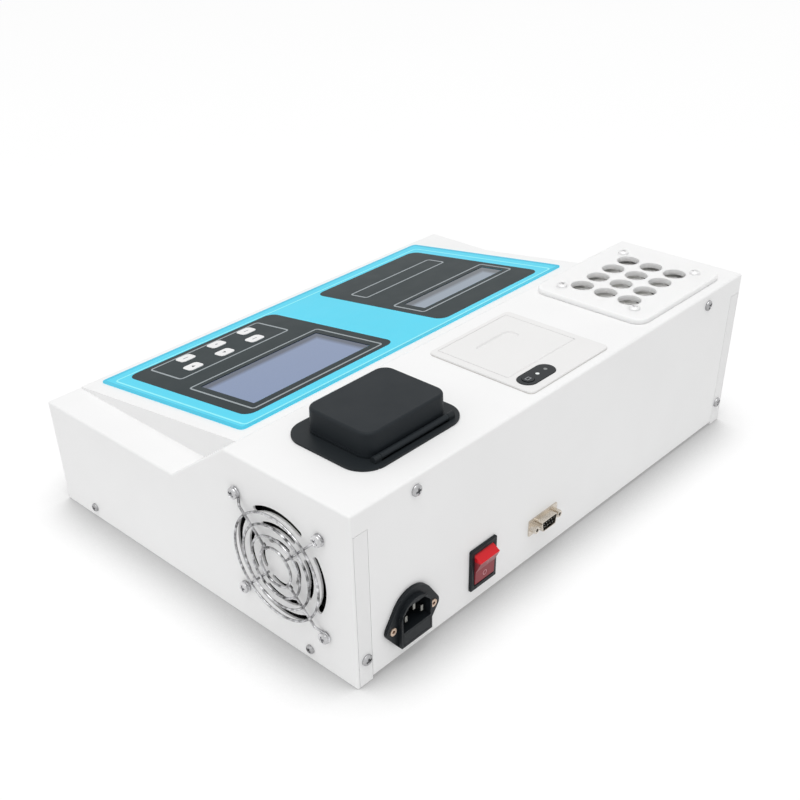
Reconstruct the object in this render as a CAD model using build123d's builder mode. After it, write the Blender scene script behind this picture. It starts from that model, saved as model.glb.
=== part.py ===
"""Bench water quality tester: a stepped sheet metal case with a sloping keypad console,
a covered photometer well, a paper printer and a twelve-tube heating block.

Sizes are in millimetres. The case stands on its feet at Z = 0, centred on X and Y.
The user stands at -Y, the fan blows out at +X and the sockets are on the +Y face.
Many places are given as the user of a ruler would take them: u is measured from the
fan side, v from the rear face, s down the slope of the console.
"""

from build123d import *
import math
import os

os.makedirs("parts", exist_ok=True)

# Case
LENGTH = 418.0
HEIGHT = 125.5
WALL = 1.5
BEND_RADIUS = 1.5
STRIP_DEPTH = 104.5
RISER_RUN = 57.5
LEDGE_HEIGHT = 83.0
CONSOLE_RISER_RUN = 22.0
CONSOLE_RUN = 176.0
CONSOLE_FRONT_HEIGHT = 1.8
CONSOLE_FRONT_GAP = 3.5
CONSOLE_REAR_V = STRIP_DEPTH + CONSOLE_RISER_RUN
DEPTH = CONSOLE_REAR_V + CONSOLE_RUN + CONSOLE_FRONT_GAP
COVER_LIFT = 0.6
REAR_NOTCH_HEIGHT = 3.2
SHEET_GAP = 0.3

# Base tray and feet
TRAY_HEIGHT = 2.0
TRAY_LIP = 9.5
CORNER_FLANGE_WIDTH = 13.0
CORNER_FLANGE_HEIGHT = 111.0
CORNER_LEG_DEPTH = 16.0
FOOT_RADIUS = 8.0
FOOT_INSET = 22.0
FOOT_STEM_RADIUS = 2.5
FOOT_BARB = 1.0
FOOT_TAPER = 8.0

# Screws
SCREW_RADIUS = 1.9
SCREW_HOLE_GAP = 0.3
SCREW_HEAD_RADIUS = 3.9
SCREW_HEAD_HEIGHT = 2.2
SCREW_HEAD_TAPER = 14.0
SIDE_SCREW_HEAD_RADIUS = 3.2
SCREW_LENGTH = 7.0
TOP_SCREW_Z = 116.5
TOP_SCREW_U = (52.5, LENGTH - 48.0)
FLANGE_SCREW_INSET = 8.0
FLANGE_SCREW_Z = 19.0
SIDE_SCREW_Z = 8.5
SIDE_SCREW_V = (40.0, DEPTH - 38.0)

# Console
CONSOLE_INSET = 27.0
LEDGE_OPENING_MARGIN = 9.0
OVERLAY_SIDE_MARGIN = 12.0
OVERLAY_REAR_S = 8.5
OVERLAY_FRONT_MARGIN = 7.2
OVERLAY_THICKNESS = 0.8
OVERLAY_CORNER = 4.0
MAIN_GLASS = (126.5, 62.5, 113.0, 58.0)
SMALL_GLASS = (LENGTH - 114.0, 59.0, 96.0, 22.0)
GLASS_THICKNESS = 2.0
GLASS_GAP = 0.25
MODULE_MARGIN = 7.0
MODULE_THICKNESS = 8.0
MODULE_FRAME_STEP = 2.0

# Keys
KEY_WIDTH = 13.3
KEY_LENGTH = 11.0
KEY_CORNER = 3.0
KEY_GAP = 0.35
KEY_PROUD = 0.4
KEY_TRAVEL_GAP = 0.6
KEY_PITCH = 29.6
KEY_ROWS = ((91.0, CONSOLE_RUN - 49.4), (98.5, CONSOLE_RUN - 30.3))
KEY_COLUMNS = 3
KEYPAD_BOARD = (110.0, 40.0, 1.6)

# Photometer well and lid
FLANGE_CENTRE = (78.2, 55.2)
FLANGE_SIZE = (92.3, 71.0)
FLANGE_CORNER = 17.0
FLANGE_THICKNESS = 1.5
FLANGE_NOTCH_U = 44.2
FLANGE_NOTCH_RADIUS = 1.0
LID_CENTRE = (79.5, 55.3)
LID_SIZE = (70.2, 53.8)
LID_CORNER = 9.0
LID_TOP = 17.8
LID_SEAT_GAP = 0.3
LID_WALL = 2.5
LID_DRAFT = 1.5
LID_EDGE = 1.8
LID_FOOT = 0.3
LID_FOOT_HEIGHT = 1.4
WELL_SIZE = (58.0, 41.0)
SEAL_WIDTH = 1.8
SEAL_HEIGHT = 2.5
SEAL_GAP = 0.5
HINGE_V = 25.8
HINGE_RISE = 3.4
HINGE_BARREL_RADIUS = 2.0
HINGE_PIN_RADIUS = 1.0
HINGE_FIT = 0.05
HINGE_LENGTH = 58.0
HINGE_LUG = 5.2
HINGE_LUG_END = 1.0
HINGE_SIDE_GAP = 0.3
CELL_BLOCK_SIZE = (76.0, 50.0, 48.0)
CELL_OPENING_GAP = 1.0
TUBE_BORE_RADIUS = 8.3
CELL_TUBE_U = -14.0
CELL_TUBE_DEPTH = 42.0
CUVETTE_SIDE = 12.9
CUVETTE_U = 14.0
CUVETTE_DEPTH = 38.0
LIGHT_PATH_RADIUS = 3.0
LIGHT_PATH_DROP = 28.0
OPTICS_BOARD = (62.0, 22.0, 1.6)
LAMP_RADIUS = 2.5
LAMP_LENGTH = 6.0

# Printer
DOOR_WIDTH = 72.0
DOOR_THICKNESS = 2.6
DOOR_GAP = 0.3
DOOR_PIN_RADIUS = 0.6
DOOR_SIDE_FRAME = 2.0
DOOR_FRONT_MARGIN = 3.75
BEZEL_SIDE_LIP = 4.25
PRINTER_CENTRE = (LENGTH / 2 + 0.7, 49.5)
PRINTER_OPENING = (DOOR_WIDTH + 2 * DOOR_SIDE_FRAME, 80.0)
PRINTER_SIZE = (PRINTER_OPENING[0] + 2 * BEZEL_SIDE_LIP, 85.5)
PRINTER_CORNER = 4.0
PRINTER_LIP = 1.5
DOOR_HINGE_V = 31.5
DOOR_FRONT_V = PRINTER_CENTRE[1] + PRINTER_SIZE[1] / 2 - DOOR_FRONT_MARGIN
THUMB_SIZE = (37.0, 12.0)
THUMB_CORNER = 5.0
THUMB_V = 67.0
THUMB_DEPTH = 1.2
THUMB_TAPER = 30.0
BUCKET_DOOR_LEDGE = (2.0, 1.0, 2.5)
BUCKET_WIDTH = DOOR_WIDTH - 2 * BUCKET_DOOR_LEDGE[0]
BUCKET_REAR_V = DOOR_HINGE_V - BUCKET_DOOR_LEDGE[1]
BUCKET_FRONT_V = DOOR_FRONT_V - BUCKET_DOOR_LEDGE[2]
BUCKET_WALL = 2.5
BUCKET_DEPTH = 46.0
BUCKET_FLOOR = 2.0
ROLLER_V = BUCKET_FRONT_V - 7.0
ROLLER_DROP = 8.0
ROLLER_RADIUS = 4.0
ROLLER_LENGTH = BUCKET_WIDTH - 10.0
ROLLER_SHAFT_RADIUS = 1.5
CHEEK_THICKNESS = 2.0
CHEEK_RIM = 1.5
CHEEK_SIDE_GAP = 1.0
CHEEK_REACH = (4.5, 5.0)
ROLL_V = 52.0
ROLL_DROP = 26.0
ROLL_RADIUS = 17.0
ROLL_WIDTH = ROLLER_LENGTH - 1.0
SPINDLE_RADIUS = 4.0
SPINDLE_SOCKET = 1.5
RUNNING_FIT = 0.06
THERMAL_HEAD = (ROLLER_LENGTH - 2.0, 1.8, 10.0)
PILL_CENTRE = (PRINTER_CENTRE[0] - 21.2, 19.3)
PILL_SIZE = (32.0, 13.8)
PILL_PROUD = 0.4
FEED_BUTTON_U = -8.6
FEED_BUTTON_RADIUS = 4.0
FEED_BUTTON_GAP = 0.3
FEED_BUTTON_TRAVEL_GAP = 1.1
LENS_U = (1.2, 9.6)
LENS_RADIUS = 1.3
PRINTER_BOARD = (58.0, 13.5, 1.6)
PRINTER_BOARD_SHIFT = 1.2

# Heating block
BLOCK_CENTRE = (LENGTH - 71.0, 53.7)
BLOCK_COVER_SIZE = (110.0, 92.0)
BLOCK_COVER_CORNER = 10.0
BLOCK_COVER_THICKNESS = 4.0
BLOCK_COVER_EDGE = 1.2
TUBE_COLUMNS = 4
TUBE_ROWS = 3
TUBE_PITCH = 20.0
BLOCK_SIZE = (88.0, 68.0, 54.0)
BLOCK_DROP = 2.5
BLOCK_OPENING = (92.0, 72.0)
BLOCK_SCREW_SPACING = (80.5, 61.5)
BLOCK_SCREW_LENGTH = 14.0
HEATER_PLATE_THICKNESS = 6.0
POST_RADIUS = 4.0
POST_SPACING = (76.0, 56.0)
INSULATION_THICKNESS = 6.0
INSULATION_TOP_DROP = 6.5
INSULATION_FLOOR = 3.0
INSULATION_GAP = 0.3
PROBE_RADIUS = 1.5
PROBE_LENGTH = 26.0
PROBE_DEPTH = 8.0

# Fan
FAN_V = 60.7
FAN_Z = 63.3
FAN_SIZE = 80.0
FAN_DEPTH = 25.0
FAN_CORNER = 4.0
FAN_BORE_RADIUS = 38.0
FAN_BARREL_RADIUS = 39.6
FAN_FLANGE = 3.5
FAN_CORNER_PITCH = 71.5
FAN_HOLE_RADIUS = 2.2
STRUT_WIDTH = 3.0
HUB_RADIUS = 18.0
HUB_WALL = 1.5
HUB_SETBACK = 2.0
HUB_LENGTH = 19.0
FAN_SHAFT_RADIUS = 1.5
FAN_BEARING_WALL = 2.5
BLADE_COUNT = 7
BLADE_THICKNESS = 1.6
BLADE_CHORD_ROOT = 15.0
BLADE_CHORD_TIP = 19.0
BLADE_PITCH_ROOT = 52.0
BLADE_PITCH_TIP = 34.0
BLADE_TIP_GAP = 1.0
VENT_RINGS = ((36.5, 4.0, 31.0), (26.2, 3.7, 29.0), (15.7, 3.4, 28.0))
GUARD_RINGS = (36.3, 28.6, 20.9, 13.2)
GUARD_WIRE_RADIUS = 0.8
GUARD_STANDOFF = 4.4
GUARD_EYELET_RADIUS = 3.1
GUARD_EYELET_WIRE_RADIUS = 1.0
GUARD_KINK_RADIUS = (42.0, 46.6)
GUARD_BEND_RADIUS = 0.9
GUARD_RING_SEAT = 0.6

# Mains inlet
INLET_U = 46.4
INLET_Z = 28.5
INLET_EAR_SPACING = 36.0
INLET_EAR_RADIUS = 5.4
INLET_ARCH_RADIUS = 18.0
INLET_ARCH_RISE = 4.5
INLET_FACE_ARCH_RISE = 3.5
INLET_HALF_WIDTH = 13.6
INLET_BOTTOM = -15.0
INLET_FLANGE = 2.5
INLET_FACE = 5.5
INLET_BODY_DEPTH = 25.0
INLET_BODY = (26.0, 28.9)
INLET_BODY_RISE = 0.25
SOCKET_SIZE = (24.4, 17.4)
SOCKET_BOTTOM = -3.7
SOCKET_CHAMFER = 5.5
SOCKET_DEPTH = 16.5
INLET_PIN = (2.0, 4.2)
INLET_PIN_LENGTH = 14.0
INLET_PIN_PLACES = ((0.0, 8.6), (-7.0, 3.2), (7.0, 3.2))
RIVET_HOLE_RADIUS = 1.7
RIVET_HEAD_RADIUS = 2.7
RIVET_BORE_RADIUS = 1.1
DRAWER_SIZE = (23.6, 7.8)
DRAWER_Z = -9.0
DRAWER_LENGTH = 23.5
DRAWER_GAP = 0.25
DRAWER_FRONT_WALL = 1.0
FUSE_RADIUS = 2.5
FUSE_LENGTH = 20.0

# Mains switch
SWITCH_U = 114.1
SWITCH_Z = 29.0
SWITCH_BEZEL = (25.6, 31.8, 2.0)
SWITCH_BODY = (21.8, 28.0, 19.0)
SWITCH_WINDOW = (19.6, 25.2)
SWITCH_WINDOW_DEPTH = 13.0
ROCKER_WIDTH = 19.0
ROCKER_TILT = 13.0
ROCKER_PIVOT_SETBACK = 2.0
ROCKER_PIVOT_RADIUS = 1.2
ROCKER_PIVOT_LENGTH = 0.7
ROCKER_HALF_OUTLINE = ((5.0, 0.0), (6.9, 9.6), (0.5, 12.0), (-5.0, 8.0))

# Serial socket
SERIAL_U = 178.0
SERIAL_Z = 28.9
SERIAL_FLANGE = (30.8, 12.5, 0.8)
SERIAL_SHELL = (16.9, 8.4, 6.2)
SERIAL_SHELL_WALL = 0.6
SERIAL_TAPER = 1.4
SERIAL_BODY = (19.0, 10.8, 9.0)
SERIAL_INSERT_FACE = 1.4
SERIAL_PIN_RADIUS = 0.5
SERIAL_PIN_LENGTH = 4.2
SERIAL_PIN_PITCH = 2.77
SERIAL_ROW_GAP = 2.84
JACK_SPACING = 25.0
JACK_FLATS = 4.8
JACK_HEIGHT = 4.6
JACK_BORE_RADIUS = 1.25
JACK_STEM_RADIUS = 1.7

# Inside pieces on the tray
SUPPLY_SIZE = (129.0, 97.0, 30.0)
SUPPLY_CENTRE = (99.5, 84.5)
BOARD_SIZE = (140.0, 90.0, 1.6)
BOARD_CENTRE = (-60.0, -95.0)
STANDOFF_HEIGHT = 8.0
STANDOFF_RADIUS = 3.0
STANDOFF_INSET = 5.0


def x_of(u):
    """X of a place u away from the fan side."""
    return LENGTH / 2 - u


def y_of(v):
    """Y of a place v away from the rear face."""
    return DEPTH / 2 - v


def save(piece, name):
    """Labels a finished piece and writes it."""
    piece.part.label = name
    export_step(piece.part, f"parts/{name}.step")


def top_at(u, v, rise=0.0):
    """Plane on the top strip, local x away from the fan side and local y to the front."""
    return Plane(origin=(x_of(u), y_of(v), HEIGHT + rise), x_dir=(-1, 0, 0), z_dir=(0, 0, 1))


def rear_at(u, z, out=0.0):
    """Plane on the rear face, local x away from the fan side and local y up."""
    return Plane(origin=(x_of(u), DEPTH / 2 + out, z), x_dir=(-1, 0, 0), z_dir=(0, 1, 0))


def across_at(u, v, z):
    """Plane square to X, local x to the front and local y up."""
    return Plane(origin=(x_of(u), y_of(v), z), x_dir=(0, -1, 0), z_dir=(-1, 0, 0))


strip_front_v = STRIP_DEPTH
riser_foot_v = STRIP_DEPTH + RISER_RUN
console_rear_z = LEDGE_HEIGHT + (riser_foot_v - CONSOLE_REAR_V) * (HEIGHT - LEDGE_HEIGHT) / RISER_RUN
slope = math.atan((console_rear_z - LEDGE_HEIGHT - CONSOLE_FRONT_HEIGHT) / CONSOLE_RUN)
console_front_v = DEPTH - CONSOLE_FRONT_GAP
console_half = LENGTH / 2 - CONSOLE_INSET
CONSOLE = Plane(
    origin=(LENGTH / 2, y_of(CONSOLE_REAR_V), console_rear_z),
    x_dir=(-1, 0, 0),
    z_dir=(0, -math.sin(slope), math.cos(slope)),
)
FAN = Plane(origin=(LENGTH / 2, y_of(FAN_V), FAN_Z), x_dir=(0, 1, 0), z_dir=(1, 0, 0))
screw_hole = SCREW_RADIUS + SCREW_HOLE_GAP
tray_half_x = LENGTH / 2 - WALL - SHEET_GAP
tray_half_y = DEPTH / 2 - WALL - SHEET_GAP
tray_top = TRAY_HEIGHT + WALL


def case_outline(bottom):
    """Side outline of the case in Y and Z, down to the given height."""
    return [
        (y_of(0), bottom),
        (y_of(0), HEIGHT),
        (y_of(strip_front_v), HEIGHT),
        (y_of(riser_foot_v), LEDGE_HEIGHT),
        (y_of(DEPTH), LEDGE_HEIGHT),
        (y_of(DEPTH), bottom),
    ]


def console_outline(inset):
    """Side outline of the console wedge in Y and Z, moved in from its top and front."""
    drop = inset / math.cos(slope)
    fall = math.tan(slope)
    riser_fall = (HEIGHT - LEDGE_HEIGHT) / RISER_RUN
    rear_v = CONSOLE_REAR_V + drop / (riser_fall - fall)
    front_v = console_front_v - inset
    rear_z = console_rear_z - (rear_v - CONSOLE_REAR_V) * riser_fall
    front_z = console_rear_z - drop - (front_v - CONSOLE_REAR_V) * fall
    return [
        (y_of(rear_v), rear_z),
        (y_of(riser_foot_v), LEDGE_HEIGHT),
        (y_of(front_v), LEDGE_HEIGHT),
        (y_of(front_v), front_z),
    ]


slot_arcs = [
    (CenterArc((0, 0), ring_radius, 90 * quarter - half_span, 2 * half_span), slot_width)
    for ring_radius, slot_width, half_span in VENT_RINGS
    for quarter in range(4)
]


def key_places():
    """Centres of the keys on the console, row by row."""
    return [(u + KEY_PITCH * i, s) for u, s in KEY_ROWS for i in range(KEY_COLUMNS)]


# Main cover
with BuildPart() as main_cover:
    with BuildSketch(Plane.YZ):
        with BuildLine():
            Polyline(*case_outline(COVER_LIFT), close=True)
        make_face()
    extrude(amount=LENGTH / 2, both=True)
    lowest = main_cover.edges().group_by(Axis.Z)[0]
    fillet([edge for edge in main_cover.edges() if edge not in lowest], BEND_RADIUS)
    with BuildSketch(Plane.YZ):
        with BuildLine():
            Polyline(*case_outline(-HEIGHT), close=True)
        make_face()
        offset(amount=-WALL, kind=Kind.INTERSECTION)
    extrude(amount=LENGTH / 2 - WALL, both=True, mode=Mode.SUBTRACT)
    # Openings in the top strip
    with BuildSketch(top_at(*LID_CENTRE)):
        Rectangle(CELL_BLOCK_SIZE[0] + 2 * CELL_OPENING_GAP, CELL_BLOCK_SIZE[1] + 2 * CELL_OPENING_GAP)
    with BuildSketch(top_at(*PRINTER_CENTRE)):
        Rectangle(*PRINTER_OPENING)
    with BuildSketch(top_at(*BLOCK_CENTRE)):
        Rectangle(*BLOCK_OPENING)
    extrude(amount=-2 * WALL, mode=Mode.SUBTRACT)
    # Ledge opening under the console, for the display and key boards
    ledge_open_rear = riser_foot_v + LEDGE_OPENING_MARGIN
    ledge_open_front = console_front_v - LEDGE_OPENING_MARGIN
    with BuildSketch(Plane.XY.offset(LEDGE_HEIGHT)):
        with Locations((0, y_of((ledge_open_rear + ledge_open_front) / 2))):
            Rectangle(2 * (console_half - LEDGE_OPENING_MARGIN), ledge_open_front - ledge_open_rear)
    extrude(amount=-2 * WALL, mode=Mode.SUBTRACT)
    # Curved fan slots in three rings, parted at the diagonals
    with BuildSketch(FAN):
        for slot_arc, slot_width in slot_arcs:
            SlotArc(slot_arc, slot_width)
        with GridLocations(FAN_CORNER_PITCH, FAN_CORNER_PITCH, 2, 2):
            Circle(FAN_HOLE_RADIUS)
    extrude(amount=-2 * WALL, mode=Mode.SUBTRACT)
    # Rear cut-outs for the inlet, the switch and the serial socket
    with BuildSketch(rear_at(INLET_U, INLET_Z)):
        with Locations((0, INLET_BODY_RISE)):
            Rectangle(INLET_BODY[0] + 2 * SHEET_GAP, INLET_BODY[1] + 2 * SHEET_GAP)
        with GridLocations(INLET_EAR_SPACING, 1, 2, 1):
            Circle(RIVET_HOLE_RADIUS + SCREW_HOLE_GAP)
    with BuildSketch(rear_at(SWITCH_U, SWITCH_Z)):
        Rectangle(SWITCH_BODY[0] + 2 * SHEET_GAP, SWITCH_BODY[1] + 2 * SHEET_GAP)
    with BuildSketch(rear_at(SERIAL_U, SERIAL_Z)):
        Rectangle(SERIAL_BODY[0] + 2 * SHEET_GAP, SERIAL_BODY[1] + 2 * SHEET_GAP)
        with GridLocations(JACK_SPACING, 1, 2, 1):
            Circle(JACK_STEM_RADIUS + SCREW_HOLE_GAP)
    with BuildSketch(rear_at(0, 0)):
        with Locations(*[(u, TOP_SCREW_Z) for u in TOP_SCREW_U]):
            Circle(screw_hole)
    extrude(amount=-2 * WALL, mode=Mode.SUBTRACT)
    # Rear corners left open for the tray's flanges, and the raised rear edge between them
    for side in (-1, 1):
        with BuildSketch(Plane.XZ.offset(-DEPTH / 2)):
            with Locations((side * (LENGTH / 2 - WALL - (CORNER_FLANGE_WIDTH - WALL) / 2), 0)):
                Rectangle(CORNER_FLANGE_WIDTH - WALL, 2 * CORNER_FLANGE_HEIGHT)
        extrude(amount=WALL, mode=Mode.SUBTRACT)
    with BuildSketch(Plane.XZ.offset(-DEPTH / 2)):
        Rectangle(LENGTH - 2 * WALL, 2 * REAR_NOTCH_HEIGHT)
    extrude(amount=WALL, mode=Mode.SUBTRACT)
    # Screw holes low in both end walls
    with BuildSketch(Plane.YZ):
        with Locations(*[(y_of(v), SIDE_SCREW_Z) for v in SIDE_SCREW_V]):
            Circle(screw_hole)
    extrude(amount=LENGTH, both=True, mode=Mode.SUBTRACT)
save(main_cover, "main_cover")

# Base tray with its lips and the two corner flanges that close the rear corners
with BuildPart() as base_tray:
    with BuildSketch(Plane.XY.offset(TRAY_HEIGHT)):
        Rectangle(2 * tray_half_x, 2 * tray_half_y)
    extrude(amount=TRAY_LIP)
    with BuildSketch(Plane.XY.offset(tray_top)):
        Rectangle(2 * (tray_half_x - WALL), 2 * (tray_half_y - WALL))
    extrude(amount=TRAY_LIP, mode=Mode.SUBTRACT)
    for side in (-1, 1):
        leg_x = side * (tray_half_x - WALL / 2)
        flange_inner = LENGTH / 2 - CORNER_FLANGE_WIDTH + SHEET_GAP
        flange_x = side * (tray_half_x + flange_inner) / 2
        with BuildSketch(Plane.XY.offset(COVER_LIFT)):
            with Locations((leg_x, DEPTH / 2 - CORNER_LEG_DEPTH / 2)):
                Rectangle(WALL, CORNER_LEG_DEPTH)
            with Locations((flange_x, DEPTH / 2 - WALL / 2)):
                Rectangle(tray_half_x - flange_inner, WALL)
        extrude(amount=CORNER_FLANGE_HEIGHT - COVER_LIFT - SHEET_GAP)
    with BuildSketch(Plane.YZ):
        with Locations(*[(y_of(v), SIDE_SCREW_Z) for v in SIDE_SCREW_V]):
            Circle(screw_hole)
    extrude(amount=LENGTH, both=True, mode=Mode.SUBTRACT)
    with BuildSketch(rear_at(LENGTH / 2, FLANGE_SCREW_Z)):
        with GridLocations(LENGTH - 2 * FLANGE_SCREW_INSET, 1, 2, 1):
            Circle(screw_hole)
    extrude(amount=-WALL, mode=Mode.SUBTRACT)
    with BuildSketch(Plane.XY.offset(TRAY_HEIGHT)):
        with GridLocations(LENGTH - 2 * FOOT_INSET, DEPTH - 2 * FOOT_INSET, 2, 2):
            Circle(FOOT_STEM_RADIUS + SHEET_GAP)
    extrude(amount=WALL, mode=Mode.SUBTRACT)
save(base_tray, "base_tray")

# Rubber feet, pushed through the tray
with BuildPart() as rubber_feet:
    with BuildSketch(Plane.XY):
        with GridLocations(LENGTH - 2 * FOOT_INSET, DEPTH - 2 * FOOT_INSET, 2, 2):
            Circle(FOOT_RADIUS)
    extrude(amount=TRAY_HEIGHT, taper=FOOT_TAPER)
    with BuildSketch(Plane.XY.offset(TRAY_HEIGHT)):
        with GridLocations(LENGTH - 2 * FOOT_INSET, DEPTH - 2 * FOOT_INSET, 2, 2):
            Circle(FOOT_STEM_RADIUS)
    extrude(amount=2 * WALL)
    with BuildSketch(Plane.XY.offset(tray_top)):
        with GridLocations(LENGTH - 2 * FOOT_INSET, DEPTH - 2 * FOOT_INSET, 2, 2):
            Circle(FOOT_STEM_RADIUS + FOOT_BARB)
    extrude(amount=WALL)
save(rubber_feet, "rubber_feet")

# Pan head screws of the case
rear_screws = [(u, TOP_SCREW_Z) for u in TOP_SCREW_U]
rear_screws += [(u, FLANGE_SCREW_Z) for u in (FLANGE_SCREW_INSET, LENGTH - FLANGE_SCREW_INSET)]
with BuildPart() as cover_screws:
    with BuildSketch(rear_at(0, 0)):
        with Locations(*rear_screws):
            Circle(SCREW_HEAD_RADIUS)
    extrude(amount=SCREW_HEAD_HEIGHT, taper=SCREW_HEAD_TAPER)
    with BuildSketch(rear_at(0, 0)):
        with Locations(*rear_screws):
            Circle(SCREW_RADIUS)
    extrude(amount=-SCREW_LENGTH)
    for side in (-1, 1):
        face = Plane(origin=(side * LENGTH / 2, 0, SIDE_SCREW_Z), x_dir=(0, side, 0), z_dir=(side, 0, 0))
        places = [(side * y_of(v), 0) for v in SIDE_SCREW_V]
        with BuildSketch(face):
            with Locations(*places):
                Circle(SIDE_SCREW_HEAD_RADIUS)
        extrude(amount=SCREW_HEAD_HEIGHT, taper=SCREW_HEAD_TAPER)
        with BuildSketch(face):
            with Locations(*places):
                Circle(SCREW_RADIUS)
        extrude(amount=-SCREW_LENGTH)
save(cover_screws, "cover_screws")

# Console hood, a hollow wedge on the ledge and the riser
with BuildPart() as console_hood:
    with BuildSketch(Plane.YZ):
        with BuildLine():
            Polyline(*console_outline(0), close=True)
        foot_edge = make_face()
        chamfer(foot_edge.vertices().group_by(Axis.X)[1], BEND_RADIUS / 2)
    extrude(amount=console_half, both=True)
    with BuildSketch(Plane.YZ):
        with BuildLine():
            Polyline(*console_outline(WALL), close=True)
        make_face()
    extrude(amount=console_half - WALL, both=True, mode=Mode.SUBTRACT)
    with BuildSketch(CONSOLE):
        for centre_u, centre_s, width, length in (MAIN_GLASS, SMALL_GLASS):
            with Locations((centre_u, centre_s)):
                Rectangle(width + 2 * GLASS_GAP, length + 2 * GLASS_GAP)
        with Locations(*key_places()):
            RectangleRounded(KEY_WIDTH + 2 * KEY_GAP, KEY_LENGTH + 2 * KEY_GAP, KEY_CORNER)
    extrude(amount=-2 * WALL, mode=Mode.SUBTRACT)
save(console_hood, "console_hood")

# Printed overlay sheet on the console
overlay_length = CONSOLE_RUN / math.cos(slope) - OVERLAY_REAR_S - OVERLAY_FRONT_MARGIN
overlay_width = 2 * (console_half - OVERLAY_SIDE_MARGIN)
with BuildPart() as overlay_sheet:
    with BuildSketch(CONSOLE):
        with Locations((LENGTH / 2, OVERLAY_REAR_S + overlay_length / 2)):
            RectangleRounded(overlay_width, overlay_length, OVERLAY_CORNER)
        for centre_u, centre_s, width, length in (MAIN_GLASS, SMALL_GLASS):
            with Locations((centre_u, centre_s)):
                Rectangle(width + 2 * GLASS_GAP, length + 2 * GLASS_GAP, mode=Mode.SUBTRACT)
        with Locations(*key_places()):
            RectangleRounded(
                KEY_WIDTH + 2 * KEY_GAP, KEY_LENGTH + 2 * KEY_GAP, KEY_CORNER, mode=Mode.SUBTRACT
            )
    extrude(amount=OVERLAY_THICKNESS)
save(overlay_sheet, "overlay_sheet")


def display_glass(glass):
    """Clear cell of a display, standing in its window."""
    centre_u, centre_s, width, length = glass
    with BuildPart() as cell:
        with BuildSketch(CONSOLE.offset(-WALL)):
            with Locations((centre_u, centre_s)):
                Rectangle(width, length)
        extrude(amount=GLASS_THICKNESS)
    return cell


def display_module(glass):
    """Framed circuit module behind a display cell."""
    centre_u, centre_s, width, length = glass
    with BuildPart() as module:
        with BuildSketch(CONSOLE.offset(-WALL)):
            with Locations((centre_u, centre_s)):
                Rectangle(width + MODULE_MARGIN, length + MODULE_MARGIN)
        extrude(amount=-MODULE_THICKNESS)
        with BuildSketch(CONSOLE.offset(-WALL - MODULE_FRAME_STEP)):
            with Locations((centre_u, centre_s)):
                Rectangle(width + 2 * MODULE_MARGIN, length + MODULE_MARGIN)
        extrude(amount=-MODULE_THICKNESS / 4)
    return module


save(display_glass(MAIN_GLASS), "main_display_glass")
save(display_module(MAIN_GLASS), "main_display_module")
save(display_glass(SMALL_GLASS), "small_display_glass")
save(display_module(SMALL_GLASS), "small_display_module")

# Key board under the hood and the six keys that stand on it
key_us = [u for u, s in key_places()]
key_ss = [s for u, s in key_places()]
keypad_centre = ((min(key_us) + max(key_us)) / 2, (min(key_ss) + max(key_ss)) / 2)
with BuildPart() as keypad_board:
    with BuildSketch(CONSOLE.offset(-WALL)):
        with Locations(keypad_centre):
            Rectangle(KEYPAD_BOARD[0], KEYPAD_BOARD[1])
    extrude(amount=-KEYPAD_BOARD[2])
save(keypad_board, "keypad_board")

for number, place in enumerate(key_places(), start=1):
    with BuildPart() as key:
        with BuildSketch(CONSOLE.offset(KEY_TRAVEL_GAP - WALL)):
            with Locations(place):
                RectangleRounded(KEY_WIDTH, KEY_LENGTH, KEY_CORNER)
        extrude(amount=WALL - KEY_TRAVEL_GAP + OVERLAY_THICKNESS + KEY_PROUD)
    save(key, f"key_{number}")

# Photometer flange around the well, with the hinge lugs
hinge_clear = HINGE_BARREL_RADIUS + HINGE_SIDE_GAP
lug_inner = HINGE_LENGTH / 2 + HINGE_SIDE_GAP
hinge_axis_plane = across_at(LID_CENTRE[0], HINGE_V, HEIGHT + HINGE_RISE)
flange_rear_v = FLANGE_CENTRE[1] - FLANGE_SIZE[1] / 2
with BuildPart() as photometer_flange:
    with BuildSketch(top_at(*FLANGE_CENTRE)):
        RectangleRounded(*FLANGE_SIZE, FLANGE_CORNER)
    extrude(amount=FLANGE_THICKNESS)
    with BuildSketch(top_at(LID_CENTRE[0], HINGE_V)):
        Rectangle(2 * lug_inner, 2 * hinge_clear)
    with BuildSketch(top_at(*LID_CENTRE)):
        RectangleRounded(*WELL_SIZE, LID_CORNER / 2)
    with BuildSketch(top_at(FLANGE_NOTCH_U, flange_rear_v)):
        Circle(FLANGE_NOTCH_RADIUS)
    extrude(amount=FLANGE_THICKNESS, mode=Mode.SUBTRACT)
    for side in (-1, 1):
        with BuildSketch(hinge_axis_plane.offset(side * (lug_inner + HINGE_LUG / 2))):
            Circle(HINGE_BARREL_RADIUS)
            with Locations((0, -HINGE_RISE / 2)):
                Rectangle(2 * HINGE_BARREL_RADIUS, HINGE_RISE)
        extrude(amount=HINGE_LUG / 2, both=True)
        with BuildSketch(hinge_axis_plane.offset(side * lug_inner)):
            Circle(HINGE_PIN_RADIUS + HINGE_FIT)
        extrude(amount=side * (HINGE_LUG - HINGE_LUG_END), mode=Mode.SUBTRACT)
save(photometer_flange, "photometer_flange")

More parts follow.
